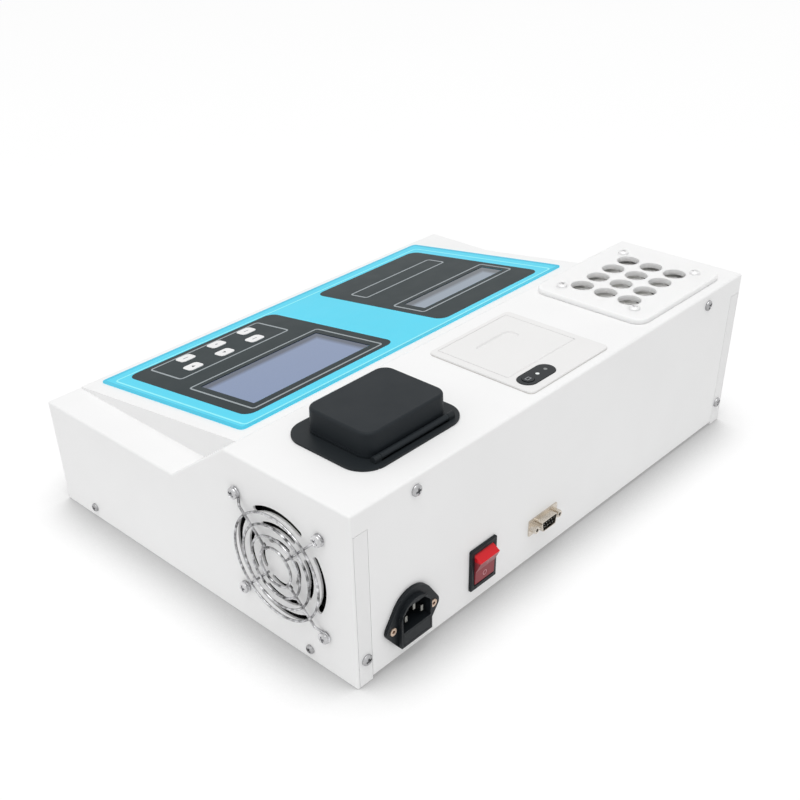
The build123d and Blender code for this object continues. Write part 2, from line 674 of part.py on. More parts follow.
# Photometer lid, a hollow cap with a foot rim and a hinge barrel
lid_bottom = FLANGE_THICKNESS + LID_SEAT_GAP
with BuildPart() as photometer_lid:
    with BuildSketch(top_at(*LID_CENTRE, lid_bottom)):
        RectangleRounded(*LID_SIZE, LID_CORNER)
    extrude(amount=LID_TOP - lid_bottom, taper=LID_DRAFT)
    fillet(photometer_lid.edges().group_by(Axis.Z)[-1], LID_EDGE)
    with BuildSketch(top_at(*LID_CENTRE, lid_bottom)):
        RectangleRounded(LID_SIZE[0] + 2 * LID_FOOT, LID_SIZE[1] + 2 * LID_FOOT, LID_CORNER + LID_FOOT)
    extrude(amount=LID_FOOT_HEIGHT)
    tongue_length = LID_CENTRE[1] - LID_SIZE[1] / 2 - HINGE_V + LID_WALL
    with BuildSketch(hinge_axis_plane):
        Circle(HINGE_BARREL_RADIUS)
        with Locations((tongue_length / 2, lid_bottom - HINGE_RISE + LID_FOOT_HEIGHT / 2)):
            Rectangle(tongue_length, LID_FOOT_HEIGHT)
    extrude(amount=HINGE_LENGTH / 2, both=True)
    with BuildSketch(hinge_axis_plane):
        Circle(HINGE_PIN_RADIUS + HINGE_FIT)
    extrude(amount=HINGE_LENGTH, both=True, mode=Mode.SUBTRACT)
    with BuildSketch(top_at(*LID_CENTRE, lid_bottom)):
        RectangleRounded(LID_SIZE[0] - 2 * LID_WALL, LID_SIZE[1] - 2 * LID_WALL, LID_CORNER - LID_WALL)
    extrude(amount=LID_TOP - lid_bottom - LID_WALL, taper=LID_DRAFT, mode=Mode.SUBTRACT)
save(photometer_lid, "photometer_lid")

with BuildPart() as lid_hinge_pin:
    with BuildSketch(hinge_axis_plane):
        Circle(HINGE_PIN_RADIUS)
    extrude(amount=lug_inner + HINGE_LUG - HINGE_LUG_END - HINGE_SIDE_GAP, both=True)
save(lid_hinge_pin, "lid_hinge_pin")

# Rubber light seal standing around the well, inside the closed lid
seal_width = LID_SIZE[0] - 2 * LID_WALL - 2 * SEAL_GAP
seal_length = LID_SIZE[1] - 2 * LID_WALL - 2 * SEAL_GAP
with BuildPart() as light_seal:
    with BuildSketch(top_at(*LID_CENTRE, FLANGE_THICKNESS)):
        RectangleRounded(seal_width, seal_length, LID_CORNER - LID_WALL)
        RectangleRounded(
            seal_width - 2 * SEAL_WIDTH,
            seal_length - 2 * SEAL_WIDTH,
            LID_CORNER - LID_WALL - SEAL_WIDTH,
            mode=Mode.SUBTRACT,
        )
    extrude(amount=SEAL_HEIGHT)
save(light_seal, "light_seal")

# Cell block under the flange, with a tube bore, a cuvette slot and the light paths
with BuildPart() as cell_block:
    with BuildSketch(top_at(*LID_CENTRE)):
        Rectangle(CELL_BLOCK_SIZE[0], CELL_BLOCK_SIZE[1])
    extrude(amount=-CELL_BLOCK_SIZE[2])
    with BuildSketch(top_at(*LID_CENTRE)):
        with Locations((CELL_TUBE_U, 0)):
            Circle(TUBE_BORE_RADIUS)
    extrude(amount=-CELL_TUBE_DEPTH, mode=Mode.SUBTRACT)
    with BuildSketch(top_at(*LID_CENTRE)):
        with Locations((CUVETTE_U, 0)):
            Rectangle(CUVETTE_SIDE, CUVETTE_SIDE)
    extrude(amount=-CUVETTE_DEPTH, mode=Mode.SUBTRACT)
    light_paths = Plane(
        origin=(x_of(LID_CENTRE[0]), y_of(LID_CENTRE[1]), HEIGHT - LIGHT_PATH_DROP),
        x_dir=(-1, 0, 0),
        z_dir=(0, 1, 0),
    )
    with BuildSketch(light_paths):
        with Locations((CELL_TUBE_U, 0), (CUVETTE_U, 0)):
            Circle(LIGHT_PATH_RADIUS)
    extrude(amount=CELL_BLOCK_SIZE[1], both=True, mode=Mode.SUBTRACT)
save(cell_block, "cell_block")


def optics_board(side):
    """Small board on one long side of the cell block, its lamps or cells in the light paths."""
    face = light_paths.offset(side * CELL_BLOCK_SIZE[1] / 2)
    with BuildPart() as board:
        with BuildSketch(face):
            Rectangle(OPTICS_BOARD[0], OPTICS_BOARD[1])
        extrude(amount=side * OPTICS_BOARD[2])
        with BuildSketch(face):
            with Locations((CELL_TUBE_U, 0), (CUVETTE_U, 0)):
                Circle(LAMP_RADIUS)
        extrude(amount=-side * LAMP_LENGTH)
    return board


save(optics_board(-1), "lamp_board")
save(optics_board(1), "detector_board")

# Printer housing: bezel plate with the door opening, paper bucket and button well
door_centre_u = PRINTER_CENTRE[0]
door_axis_rise = PRINTER_LIP - DOOR_THICKNESS / 2
door_rear_v = DOOR_HINGE_V - DOOR_THICKNESS / 2
door_middle_v = (DOOR_FRONT_V + door_rear_v) / 2
bucket_length = BUCKET_FRONT_V - BUCKET_REAR_V
bucket_middle_v = (BUCKET_REAR_V + BUCKET_FRONT_V) / 2
bezel_bottom = -PRINTER_LIP
door_bottom = PRINTER_LIP - DOOR_THICKNESS
door_axis_plane = across_at(door_centre_u, DOOR_HINGE_V, HEIGHT + door_axis_rise)
roll_axis_plane = across_at(door_centre_u, ROLL_V, HEIGHT - ROLL_DROP)
roller_axis_plane = across_at(door_centre_u, ROLLER_V, HEIGHT - ROLLER_DROP)
with BuildPart() as printer_housing:
    with BuildSketch(top_at(*PRINTER_CENTRE)):
        RectangleRounded(*PRINTER_SIZE, PRINTER_CORNER)
    extrude(amount=PRINTER_LIP)
    fillet(printer_housing.edges().group_by(Axis.Z)[-1], PRINTER_LIP / 3)
    with BuildSketch(top_at(*PRINTER_CENTRE)):
        Rectangle(PRINTER_OPENING[0] - 2 * SHEET_GAP, PRINTER_OPENING[1] - 2 * SHEET_GAP)
    extrude(amount=bezel_bottom)
    with BuildSketch(top_at(door_centre_u, bucket_middle_v)):
        Rectangle(BUCKET_WIDTH + 2 * BUCKET_WALL, bucket_length + 2 * BUCKET_WALL)
    extrude(amount=-BUCKET_DEPTH)
    with BuildSketch(top_at(door_centre_u, bucket_middle_v, BUCKET_FLOOR - BUCKET_DEPTH)):
        Rectangle(BUCKET_WIDTH, bucket_length)
    extrude(amount=BUCKET_DEPTH, mode=Mode.SUBTRACT)
    with BuildSketch(top_at(door_centre_u, door_middle_v, door_bottom - DOOR_GAP)):
        Rectangle(DOOR_WIDTH + 2 * DOOR_GAP, DOOR_FRONT_V - door_rear_v + 2 * DOOR_GAP)
    extrude(amount=DOOR_THICKNESS + 2 * DOOR_GAP, mode=Mode.SUBTRACT)
    with BuildSketch(door_axis_plane):
        Circle(DOOR_PIN_RADIUS + HINGE_FIT)
    extrude(amount=PRINTER_OPENING[0] / 2 - SHEET_GAP, both=True, mode=Mode.SUBTRACT)
    with BuildSketch(roll_axis_plane):
        Circle(SPINDLE_RADIUS + RUNNING_FIT)
    extrude(amount=BUCKET_WIDTH / 2 + SPINDLE_SOCKET, both=True, mode=Mode.SUBTRACT)
    with BuildSketch(top_at(*PILL_CENTRE)):
        SlotOverall(PILL_SIZE[0] + 2 * SHEET_GAP, PILL_SIZE[1] + 2 * SHEET_GAP)
    extrude(amount=4 * PRINTER_LIP, both=True, mode=Mode.SUBTRACT)
save(printer_housing, "printer_housing")

# Printer door with a rounded hinge edge, a thumb hollow and the roller cheeks
with BuildPart() as printer_door:
    with BuildSketch(door_axis_plane):
        Circle(DOOR_THICKNESS / 2)
        with Locations(((DOOR_FRONT_V - DOOR_HINGE_V) / 2, 0)):
            Rectangle(DOOR_FRONT_V - DOOR_HINGE_V, DOOR_THICKNESS)
    extrude(amount=DOOR_WIDTH / 2, both=True)
    with BuildSketch(top_at(door_centre_u, THUMB_V, PRINTER_LIP)):
        RectangleRounded(*THUMB_SIZE, THUMB_CORNER)
    extrude(amount=-THUMB_DEPTH, taper=THUMB_TAPER, mode=Mode.SUBTRACT)
    for side in (-1, 1):
        cheek_middle = side * (BUCKET_WIDTH / 2 - CHEEK_SIDE_GAP - CHEEK_THICKNESS / 2)
        with BuildSketch(roller_axis_plane.offset(cheek_middle)):
            Circle(ROLLER_SHAFT_RADIUS + CHEEK_RIM)
            with Locations(((CHEEK_REACH[1] - CHEEK_REACH[0]) / 2, (ROLLER_DROP + door_bottom) / 2)):
                Rectangle(CHEEK_REACH[0] + CHEEK_REACH[1], ROLLER_DROP + door_bottom)
        extrude(amount=CHEEK_THICKNESS / 2, both=True)
    with BuildSketch(roller_axis_plane):
        Circle(ROLLER_SHAFT_RADIUS + RUNNING_FIT)
    extrude(amount=BUCKET_WIDTH, both=True, mode=Mode.SUBTRACT)
    with BuildSketch(door_axis_plane):
        Circle(DOOR_PIN_RADIUS + HINGE_FIT)
    extrude(amount=DOOR_WIDTH, both=True, mode=Mode.SUBTRACT)
save(printer_door, "printer_door")

with BuildPart() as door_hinge_pin:
    with BuildSketch(door_axis_plane):
        Circle(DOOR_PIN_RADIUS)
    extrude(amount=PRINTER_OPENING[0] / 2 - 2 * SHEET_GAP, both=True)
save(door_hinge_pin, "door_hinge_pin")

# Platen roller, rubber on its shaft, carried by the door
with BuildPart() as platen_roller:
    with BuildSketch(roller_axis_plane):
        Circle(ROLLER_RADIUS)
    extrude(amount=ROLLER_LENGTH / 2, both=True)
    with BuildSketch(roller_axis_plane):
        Circle(ROLLER_SHAFT_RADIUS)
    extrude(amount=BUCKET_WIDTH / 2 - SHEET_GAP, both=True)
save(platen_roller, "platen_roller")

# Print head bar on the front wall of the bucket
with BuildPart() as thermal_head:
    with BuildSketch(top_at(door_centre_u, BUCKET_FRONT_V - THERMAL_HEAD[1] / 2, -ROLLER_DROP / 2)):
        Rectangle(THERMAL_HEAD[0], THERMAL_HEAD[1])
    extrude(amount=-THERMAL_HEAD[2])
save(thermal_head, "thermal_head")

with BuildPart() as paper_spindle:
    with BuildSketch(roll_axis_plane):
        Circle(SPINDLE_RADIUS)
    extrude(amount=BUCKET_WIDTH / 2 + SPINDLE_SOCKET - SHEET_GAP, both=True)
save(paper_spindle, "paper_spindle")

with BuildPart() as paper_roll:
    with BuildSketch(roll_axis_plane):
        Circle(ROLL_RADIUS)
        Circle(SPINDLE_RADIUS + RUNNING_FIT, mode=Mode.SUBTRACT)
    extrude(amount=ROLL_WIDTH / 2, both=True)
save(paper_roll, "paper_roll")

# Dark control insert of the printer, its feed button and lamp lenses
with BuildPart() as control_insert:
    with BuildSketch(top_at(*PILL_CENTRE, bezel_bottom)):
        SlotOverall(*PILL_SIZE)
        with Locations((FEED_BUTTON_U, 0)):
            Circle(FEED_BUTTON_RADIUS + FEED_BUTTON_GAP, mode=Mode.SUBTRACT)
        with Locations(*[(u, 0) for u in LENS_U]):
            Circle(LENS_RADIUS + HINGE_FIT, mode=Mode.SUBTRACT)
    extrude(amount=2 * PRINTER_LIP + PILL_PROUD)
save(control_insert, "control_insert")

button_board_rise = bezel_bottom - FEED_BUTTON_TRAVEL_GAP
with BuildPart() as feed_button:
    with BuildSketch(top_at(*PILL_CENTRE, bezel_bottom)):
        with Locations((FEED_BUTTON_U, 0)):
            Circle(FEED_BUTTON_RADIUS)
    extrude(amount=2 * PRINTER_LIP + 2 * PILL_PROUD)
save(feed_button, "feed_button")

with BuildPart() as status_lenses:
    with BuildSketch(top_at(*PILL_CENTRE, button_board_rise)):
        with Locations(*[(u, 0) for u in LENS_U]):
            Circle(LENS_RADIUS)
    extrude(amount=FEED_BUTTON_TRAVEL_GAP + 2 * PRINTER_LIP + PILL_PROUD)
save(status_lenses, "status_lenses")

with BuildPart() as printer_board:
    with BuildSketch(top_at(PRINTER_CENTRE[0], PILL_CENTRE[1] + PRINTER_BOARD_SHIFT, button_board_rise)):
        Rectangle(PRINTER_BOARD[0], PRINTER_BOARD[1])
    extrude(amount=-PRINTER_BOARD[2])
save(printer_board, "printer_board")

# Cover plate over the heating block
with BuildPart() as block_cover:
    with BuildSketch(top_at(*BLOCK_CENTRE)):
        RectangleRounded(*BLOCK_COVER_SIZE, BLOCK_COVER_CORNER)
    extrude(amount=BLOCK_COVER_THICKNESS)
    fillet(block_cover.edges().group_by(Axis.Z)[-1], BLOCK_COVER_EDGE)
    with BuildSketch(top_at(*BLOCK_CENTRE)):
        with GridLocations(TUBE_PITCH, TUBE_PITCH, TUBE_COLUMNS, TUBE_ROWS):
            Circle(TUBE_BORE_RADIUS)
        with GridLocations(*BLOCK_SCREW_SPACING, 2, 2):
            Circle(screw_hole)
    extrude(amount=BLOCK_COVER_THICKNESS, mode=Mode.SUBTRACT)
save(block_cover, "block_cover")

with BuildPart() as block_screws:
    with BuildSketch(top_at(*BLOCK_CENTRE, BLOCK_COVER_THICKNESS)):
        with GridLocations(*BLOCK_SCREW_SPACING, 2, 2):
            Circle(SCREW_HEAD_RADIUS)
    extrude(amount=SCREW_HEAD_HEIGHT, taper=SCREW_HEAD_TAPER)
    with BuildSketch(top_at(*BLOCK_CENTRE, BLOCK_COVER_THICKNESS)):
        with GridLocations(*BLOCK_SCREW_SPACING, 2, 2):
            Circle(SCREW_RADIUS)
    extrude(amount=-BLOCK_SCREW_LENGTH)
save(block_screws, "block_screws")

# Aluminium heating block, its tube bores and tapped holes drilled right through
block_bottom = -BLOCK_DROP - BLOCK_SIZE[2]
with BuildPart() as heater_block:
    with BuildSketch(top_at(*BLOCK_CENTRE, -BLOCK_DROP)):
        Rectangle(BLOCK_SIZE[0], BLOCK_SIZE[1])
    extrude(amount=-BLOCK_SIZE[2])
    with BuildSketch(top_at(*BLOCK_CENTRE, -BLOCK_DROP)):
        with GridLocations(TUBE_PITCH, TUBE_PITCH, TUBE_COLUMNS, TUBE_ROWS):
            Circle(TUBE_BORE_RADIUS)
        with GridLocations(*BLOCK_SCREW_SPACING, 2, 2):
            Circle(SCREW_RADIUS + HINGE_FIT)
    extrude(amount=-BLOCK_SIZE[2], mode=Mode.SUBTRACT)
    probe_plane = across_at(BLOCK_CENTRE[0] - BLOCK_SIZE[0] / 2, BLOCK_CENTRE[1], HEIGHT + block_bottom / 2)
    with BuildSketch(probe_plane.offset(-BLOCK_SIZE[0])):
        with Locations((TUBE_PITCH / 2, 0)):
            Circle(PROBE_RADIUS + HINGE_FIT)
    extrude(amount=BLOCK_SIZE[0] + PROBE_DEPTH, mode=Mode.SUBTRACT)
save(heater_block, "heater_block")

with BuildPart() as temperature_probe:
    with BuildSketch(probe_plane.offset(PROBE_DEPTH - SHEET_GAP)):
        with Locations((TUBE_PITCH / 2, 0)):
            Circle(PROBE_RADIUS)
    extrude(amount=-PROBE_LENGTH)
save(temperature_probe, "temperature_probe")

# Heater plate that closes the bores from below
with BuildPart() as heater_plate:
    with BuildSketch(top_at(*BLOCK_CENTRE, block_bottom)):
        Rectangle(BLOCK_SIZE[0], BLOCK_SIZE[1])
    extrude(amount=-HEATER_PLATE_THICKNESS)
save(heater_plate, "heater_plate")

# Insulating box around the block, open at the top
box_inner = (BLOCK_SIZE[0] + 2 * INSULATION_GAP, BLOCK_SIZE[1] + 2 * INSULATION_GAP)
box_floor = block_bottom - HEATER_PLATE_THICKNESS - INSULATION_GAP
with BuildPart() as block_insulation:
    with BuildSketch(top_at(*BLOCK_CENTRE, -INSULATION_TOP_DROP)):
        Rectangle(box_inner[0] + 2 * INSULATION_THICKNESS, box_inner[1] + 2 * INSULATION_THICKNESS)
    extrude(amount=box_floor - INSULATION_FLOOR + INSULATION_TOP_DROP)
    with BuildSketch(top_at(*BLOCK_CENTRE, -INSULATION_TOP_DROP)):
        Rectangle(*box_inner)
    extrude(amount=box_floor + INSULATION_TOP_DROP, mode=Mode.SUBTRACT)
    with BuildSketch(top_at(*BLOCK_CENTRE, box_floor)):
        with GridLocations(*POST_SPACING, 2, 2):
            Circle(POST_RADIUS + INSULATION_GAP)
    extrude(amount=-INSULATION_FLOOR, mode=Mode.SUBTRACT)
    with BuildSketch(probe_plane):
        with Locations((TUBE_PITCH / 2, 0)):
            Circle(PROBE_RADIUS + INSULATION_GAP)
    extrude(amount=-4 * INSULATION_THICKNESS, mode=Mode.SUBTRACT)
save(block_insulation, "block_insulation")

with BuildPart() as block_posts:
    with BuildSketch(Plane.XY.offset(tray_top)):
        with Locations((x_of(BLOCK_CENTRE[0]), y_of(BLOCK_CENTRE[1]))):
            with GridLocations(*POST_SPACING, 2, 2):
                Circle(POST_RADIUS)
    extrude(amount=HEIGHT + block_bottom - HEATER_PLATE_THICKNESS - tray_top)
save(block_posts, "block_posts")

# Fan frame with its end flanges, struts and bearing tube
inner_face = -WALL
far_face = inner_face - FAN_DEPTH
with BuildPart() as fan_frame:
    with BuildSketch(FAN.offset(inner_face)):
        Circle(FAN_BARREL_RADIUS)
    extrude(amount=-FAN_DEPTH)
    with BuildSketch(FAN.offset(inner_face)):
        RectangleRounded(FAN_SIZE, FAN_SIZE, FAN_CORNER)
    extrude(amount=-FAN_FLANGE)
    with BuildSketch(FAN.offset(far_face)):
        RectangleRounded(FAN_SIZE, FAN_SIZE, FAN_CORNER)
    extrude(amount=FAN_FLANGE)
    with BuildSketch(FAN.offset(inner_face)):
        Circle(FAN_BORE_RADIUS)
        with GridLocations(FAN_CORNER_PITCH, FAN_CORNER_PITCH, 2, 2):
            Circle(FAN_HOLE_RADIUS)
    extrude(amount=-FAN_DEPTH, mode=Mode.SUBTRACT)
    with BuildSketch(FAN.offset(far_face)):
        Circle(HUB_RADIUS)
        for angle in (0, 90):
            with Locations(Location((0, 0), angle)):
                Rectangle(FAN_BORE_RADIUS + FAN_BARREL_RADIUS, STRUT_WIDTH)
    extrude(amount=STRUT_WIDTH)
    with BuildSketch(FAN.offset(far_face)):
        Circle(FAN_SHAFT_RADIUS + FAN_BEARING_WALL)
    extrude(amount=FAN_DEPTH - HUB_SETBACK - 2 * HUB_WALL)
    with BuildSketch(FAN.offset(far_face)):
        Circle(FAN_SHAFT_RADIUS + RUNNING_FIT)
    extrude(amount=FAN_DEPTH, mode=Mode.SUBTRACT)
save(fan_frame, "fan_frame")

# Fan rotor: hub cup, shaft and twisted blades
hub_face = inner_face - HUB_SETBACK
blade_middle = hub_face - HUB_LENGTH / 2
with BuildPart() as fan_rotor:
    with BuildSketch(FAN.offset(hub_face)):
        Circle(HUB_RADIUS)
    extrude(amount=-HUB_LENGTH)
    for number in range(BLADE_COUNT):
        turn = math.radians(360 * number / BLADE_COUNT)
        outward = Vector(0, math.cos(turn), math.sin(turn))
        sections = (
            (HUB_RADIUS - HUB_WALL / 2, BLADE_CHORD_ROOT, BLADE_PITCH_ROOT),
            (FAN_BORE_RADIUS - 2 * BLADE_TIP_GAP, BLADE_CHORD_TIP, BLADE_PITCH_TIP),
        )
        for radius, chord, pitch in sections:
            centre = FAN.origin + FAN.z_dir * blade_middle + outward * radius
            around = FAN.z_dir.cross(outward)
            lean = math.radians(pitch)
            chord_line = around * math.cos(lean) + FAN.z_dir * math.sin(lean)
            with BuildSketch(Plane(origin=centre, x_dir=chord_line, z_dir=outward)):
                Rectangle(chord, BLADE_THICKNESS)
        loft(ruled=True)
    with BuildSketch(FAN.offset(hub_face - HUB_WALL)):
        Circle(HUB_RADIUS - HUB_WALL)
    extrude(amount=-HUB_LENGTH, mode=Mode.SUBTRACT)
    with BuildSketch(FAN.offset(hub_face - HUB_WALL)):
        Circle(FAN_SHAFT_RADIUS)
    extrude(amount=-(FAN_DEPTH - HUB_SETBACK - HUB_WALL - STRUT_WIDTH / 2))
save(fan_rotor, "fan_rotor")

# Chrome wire finger guard: rings on four arms that end in eyelets
arm_rise = GUARD_STANDOFF - (2 - GUARD_RING_SEAT) * GUARD_WIRE_RADIUS
arm_foot_rise = (GUARD_WIRE_RADIUS + GUARD_EYELET_WIRE_RADIUS) / 2
eyelet_place = FAN_CORNER_PITCH / math.sqrt(2)
with BuildPart() as finger_guard:
    for quarter in range(4):
        turn = math.radians(45 + 90 * quarter)
        outward = Vector(0, math.cos(turn), math.sin(turn))
        reaches = (
            (GUARD_RINGS[-1] - 2 * GUARD_WIRE_RADIUS, arm_rise),
            (GUARD_KINK_RADIUS[0], arm_rise),
            (GUARD_KINK_RADIUS[1], arm_foot_rise),
            (eyelet_place - GUARD_EYELET_RADIUS, arm_foot_rise),
        )
        route = [FAN.origin + outward * reach + FAN.z_dir * rise for reach, rise in reaches]
        for begin, finish in zip(route, route[1:]):
            with BuildSketch(Plane(origin=begin, z_dir=finish - begin)):
                Circle(GUARD_WIRE_RADIUS)
            extrude(amount=(finish - begin).length)
        with Locations(*route[1:-1]):
            Sphere(GUARD_BEND_RADIUS)
    with Locations(FAN.offset(GUARD_STANDOFF)):
        for ring in GUARD_RINGS:
            Torus(ring, GUARD_WIRE_RADIUS)
    with Locations(FAN.offset(GUARD_EYELET_WIRE_RADIUS)):
        with GridLocations(FAN_CORNER_PITCH, FAN_CORNER_PITCH, 2, 2):
            Torus(GUARD_EYELET_RADIUS, GUARD_EYELET_WIRE_RADIUS)
save(finger_guard, "finger_guard")

guard_eyelet_rise = 2 * GUARD_EYELET_WIRE_RADIUS
with BuildPart() as fan_screws:
    with BuildSketch(FAN.offset(guard_eyelet_rise)):
        with GridLocations(FAN_CORNER_PITCH, FAN_CORNER_PITCH, 2, 2):
            Circle(SCREW_HEAD_RADIUS)
    extrude(amount=SCREW_HEAD_HEIGHT, taper=SCREW_HEAD_TAPER)
    with BuildSketch(FAN.offset(guard_eyelet_rise)):
        with GridLocations(FAN_CORNER_PITCH, FAN_CORNER_PITCH, 2, 2):
            Circle(SCREW_RADIUS)
    extrude(amount=-(guard_eyelet_rise + WALL + FAN_DEPTH / 2))
save(fan_screws, "fan_screws")


def inlet_at(out):
    """Plane on the mains inlet's axis, the given distance out from the rear face."""
    return rear_at(INLET_U, INLET_Z, out)


# Mains inlet body with ears, socket recess and fuse drawer pocket
drawer_pocket = (DRAWER_SIZE[0] + 2 * DRAWER_GAP, DRAWER_SIZE[1] + 2 * DRAWER_GAP)
with BuildPart() as inlet_body:
    with BuildSketch(inlet_at(0)):
        with GridLocations(INLET_EAR_SPACING, 1, 2, 1):
            Circle(INLET_EAR_RADIUS)
        with Locations((0, INLET_ARCH_RISE)):
            Circle(INLET_ARCH_RADIUS)
        with Locations((0, INLET_BOTTOM / 2)):
            Rectangle(2 * INLET_HALF_WIDTH, -INLET_BOTTOM)
        make_hull()
    extrude(amount=INLET_FLANGE)
    with BuildSketch(inlet_at(0)):
        with Locations((0, INLET_FACE_ARCH_RISE)):
            Circle(INLET_HALF_WIDTH)
        with Locations((0, (INLET_BOTTOM + INLET_FACE_ARCH_RISE) / 2)):
            Rectangle(2 * INLET_HALF_WIDTH, INLET_FACE_ARCH_RISE - INLET_BOTTOM)
    extrude(amount=INLET_FACE)
    with BuildSketch(inlet_at(0)):
        with Locations((0, INLET_BODY_RISE)):
            Rectangle(*INLET_BODY)
    extrude(amount=-INLET_BODY_DEPTH)
    with BuildSketch(inlet_at(INLET_FACE)):
        with Locations((0, SOCKET_BOTTOM + SOCKET_SIZE[1] / 2)):
            socket_outline = Rectangle(*SOCKET_SIZE)
        chamfer(socket_outline.vertices().group_by(Axis.Y)[-1], SOCKET_CHAMFER)
    extrude(amount=-SOCKET_DEPTH, mode=Mode.SUBTRACT)
    with BuildSketch(inlet_at(INLET_FACE)):
        with Locations((0, DRAWER_Z)):
            Rectangle(*drawer_pocket)
    extrude(amount=-(DRAWER_LENGTH + DRAWER_GAP), mode=Mode.SUBTRACT)
    with BuildSketch(inlet_at(INLET_FLANGE)):
        with GridLocations(INLET_EAR_SPACING, 1, 2, 1):
            Circle(RIVET_HOLE_RADIUS + HINGE_FIT)
    extrude(amount=-INLET_FLANGE, mode=Mode.SUBTRACT)
save(inlet_body, "inlet_body")

with BuildPart() as inlet_pins:
    with BuildSketch(inlet_at(INLET_FACE - SOCKET_DEPTH)):
        with Locations(*INLET_PIN_PLACES):
            Rectangle(*INLET_PIN)
    extrude(amount=INLET_PIN_LENGTH)
save(inlet_pins, "inlet_pins")

# Brass tubular rivets in the inlet's ears
with BuildPart() as inlet_rivets:
    with BuildSketch(inlet_at(INLET_FLANGE)):
        with GridLocations(INLET_EAR_SPACING, 1, 2, 1):
            Circle(RIVET_HEAD_RADIUS)
    extrude(amount=RIVET_BORE_RADIUS / 2)
    with BuildSketch(inlet_at(INLET_FLANGE)):
        with GridLocations(INLET_EAR_SPACING, 1, 2, 1):
            Circle(RIVET_HOLE_RADIUS)
    extrude(amount=-(INLET_FLANGE + 2 * WALL))
    with BuildSketch(inlet_at(INLET_FLANGE + RIVET_BORE_RADIUS)):
        with GridLocations(INLET_EAR_SPACING, 1, 2, 1):
            Circle(RIVET_BORE_RADIUS)
    extrude(amount=-(INLET_FLANGE + RIVET_BORE_RADIUS), mode=Mode.SUBTRACT)
save(inlet_rivets, "inlet_rivets")

# Fuse drawer, a sliding trough with its fuse
trough_width = 2 * (FUSE_RADIUS + DRAWER_GAP)
with BuildPart() as fuse_drawer:
    with BuildSketch(inlet_at(INLET_FACE)):
        with Locations((0, DRAWER_Z)):
            Rectangle(*DRAWER_SIZE)
    extrude(amount=-DRAWER_LENGTH)
    with BuildSketch(inlet_at(INLET_FACE - 2 * DRAWER_GAP - DRAWER_FRONT_WALL)):
        with Locations((0, DRAWER_Z + DRAWER_SIZE[1] / 2)):
            Rectangle(trough_width, DRAWER_SIZE[1] + trough_width)
    extrude(amount=-(FUSE_LENGTH + 2 * DRAWER_GAP), mode=Mode.SUBTRACT)
save(fuse_drawer, "fuse_drawer")

fuse_rise = DRAWER_Z - trough_width / 2 + FUSE_RADIUS + DRAWER_GAP / 2
with BuildPart() as fuse:
    with BuildSketch(inlet_at(INLET_FACE - 3 * DRAWER_GAP - DRAWER_FRONT_WALL)):
        with Locations((0, fuse_rise)):
            Circle(FUSE_RADIUS)
    extrude(amount=-FUSE_LENGTH)
save(fuse, "fuse")


def switch_at(out):
    """Plane on the mains switch's axis, the given distance out from the rear face."""
    return rear_at(SWITCH_U, SWITCH_Z, out)


# Mains switch bezel and body, and the tilted rocker on its pivots
rocker_axis_plane = Plane(
    origin=(x_of(SWITCH_U), DEPTH / 2 - ROCKER_PIVOT_SETBACK, SWITCH_Z),
    x_dir=(0, math.cos(math.radians(ROCKER_TILT)), -math.sin(math.radians(ROCKER_TILT))),
    z_dir=(1, 0, 0),
)
with BuildPart() as switch_bezel:
    with BuildSketch(switch_at(0)):
        RectangleRounded(SWITCH_BEZEL[0], SWITCH_BEZEL[1], SWITCH_BEZEL[2] / 2)
    extrude(amount=SWITCH_BEZEL[2])
    chamfer(switch_bezel.edges().group_by(Axis.Y)[-1], SWITCH_BEZEL[2] / 4)
    with BuildSketch(switch_at(0)):
        Rectangle(SWITCH_BODY[0], SWITCH_BODY[1])
    extrude(amount=-SWITCH_BODY[2])
    with BuildSketch(switch_at(SWITCH_BEZEL[2])):
        Rectangle(*SWITCH_WINDOW)
    extrude(amount=-SWITCH_WINDOW_DEPTH, mode=Mode.SUBTRACT)
    with BuildSketch(rocker_axis_plane):
        Circle(ROCKER_PIVOT_RADIUS + HINGE_FIT)
    extrude(amount=ROCKER_WIDTH / 2 + ROCKER_PIVOT_LENGTH + HINGE_FIT, both=True, mode=Mode.SUBTRACT)
save(switch_bezel, "switch_bezel")

upper_half = list(ROCKER_HALF_OUTLINE)
lower_half = [(q, -p) for q, p in reversed(ROCKER_HALF_OUTLINE[1:])]
with BuildPart() as rocker:
    with BuildSketch(rocker_axis_plane):
        with BuildLine():
            Polyline(*upper_half, *lower_half, close=True)
        make_face()
    extrude(amount=ROCKER_WIDTH / 2, both=True)
    with BuildSketch(rocker_axis_plane):
        Circle(ROCKER_PIVOT_RADIUS)
    extrude(amount=ROCKER_WIDTH / 2 + ROCKER_PIVOT_LENGTH, both=True)
save(rocker, "rocker")


def serial_at(out):
    """Plane on the serial socket's axis, the given distance out from the rear face."""
    return rear_at(SERIAL_U, SERIAL_Z, out)


def shell_outline(inset):
    """Corners of the socket's D outline, wider at the top."""
    half_top = SERIAL_SHELL[0] / 2 - inset
    half_bottom = SERIAL_SHELL[0] / 2 - SERIAL_TAPER - inset
    half_height = SERIAL_SHELL[1] / 2 - inset
    return [
        (half_top, half_height),
        (-half_top, half_height),
        (-half_bottom, -half_height),
        (half_bottom, -half_height),
    ]


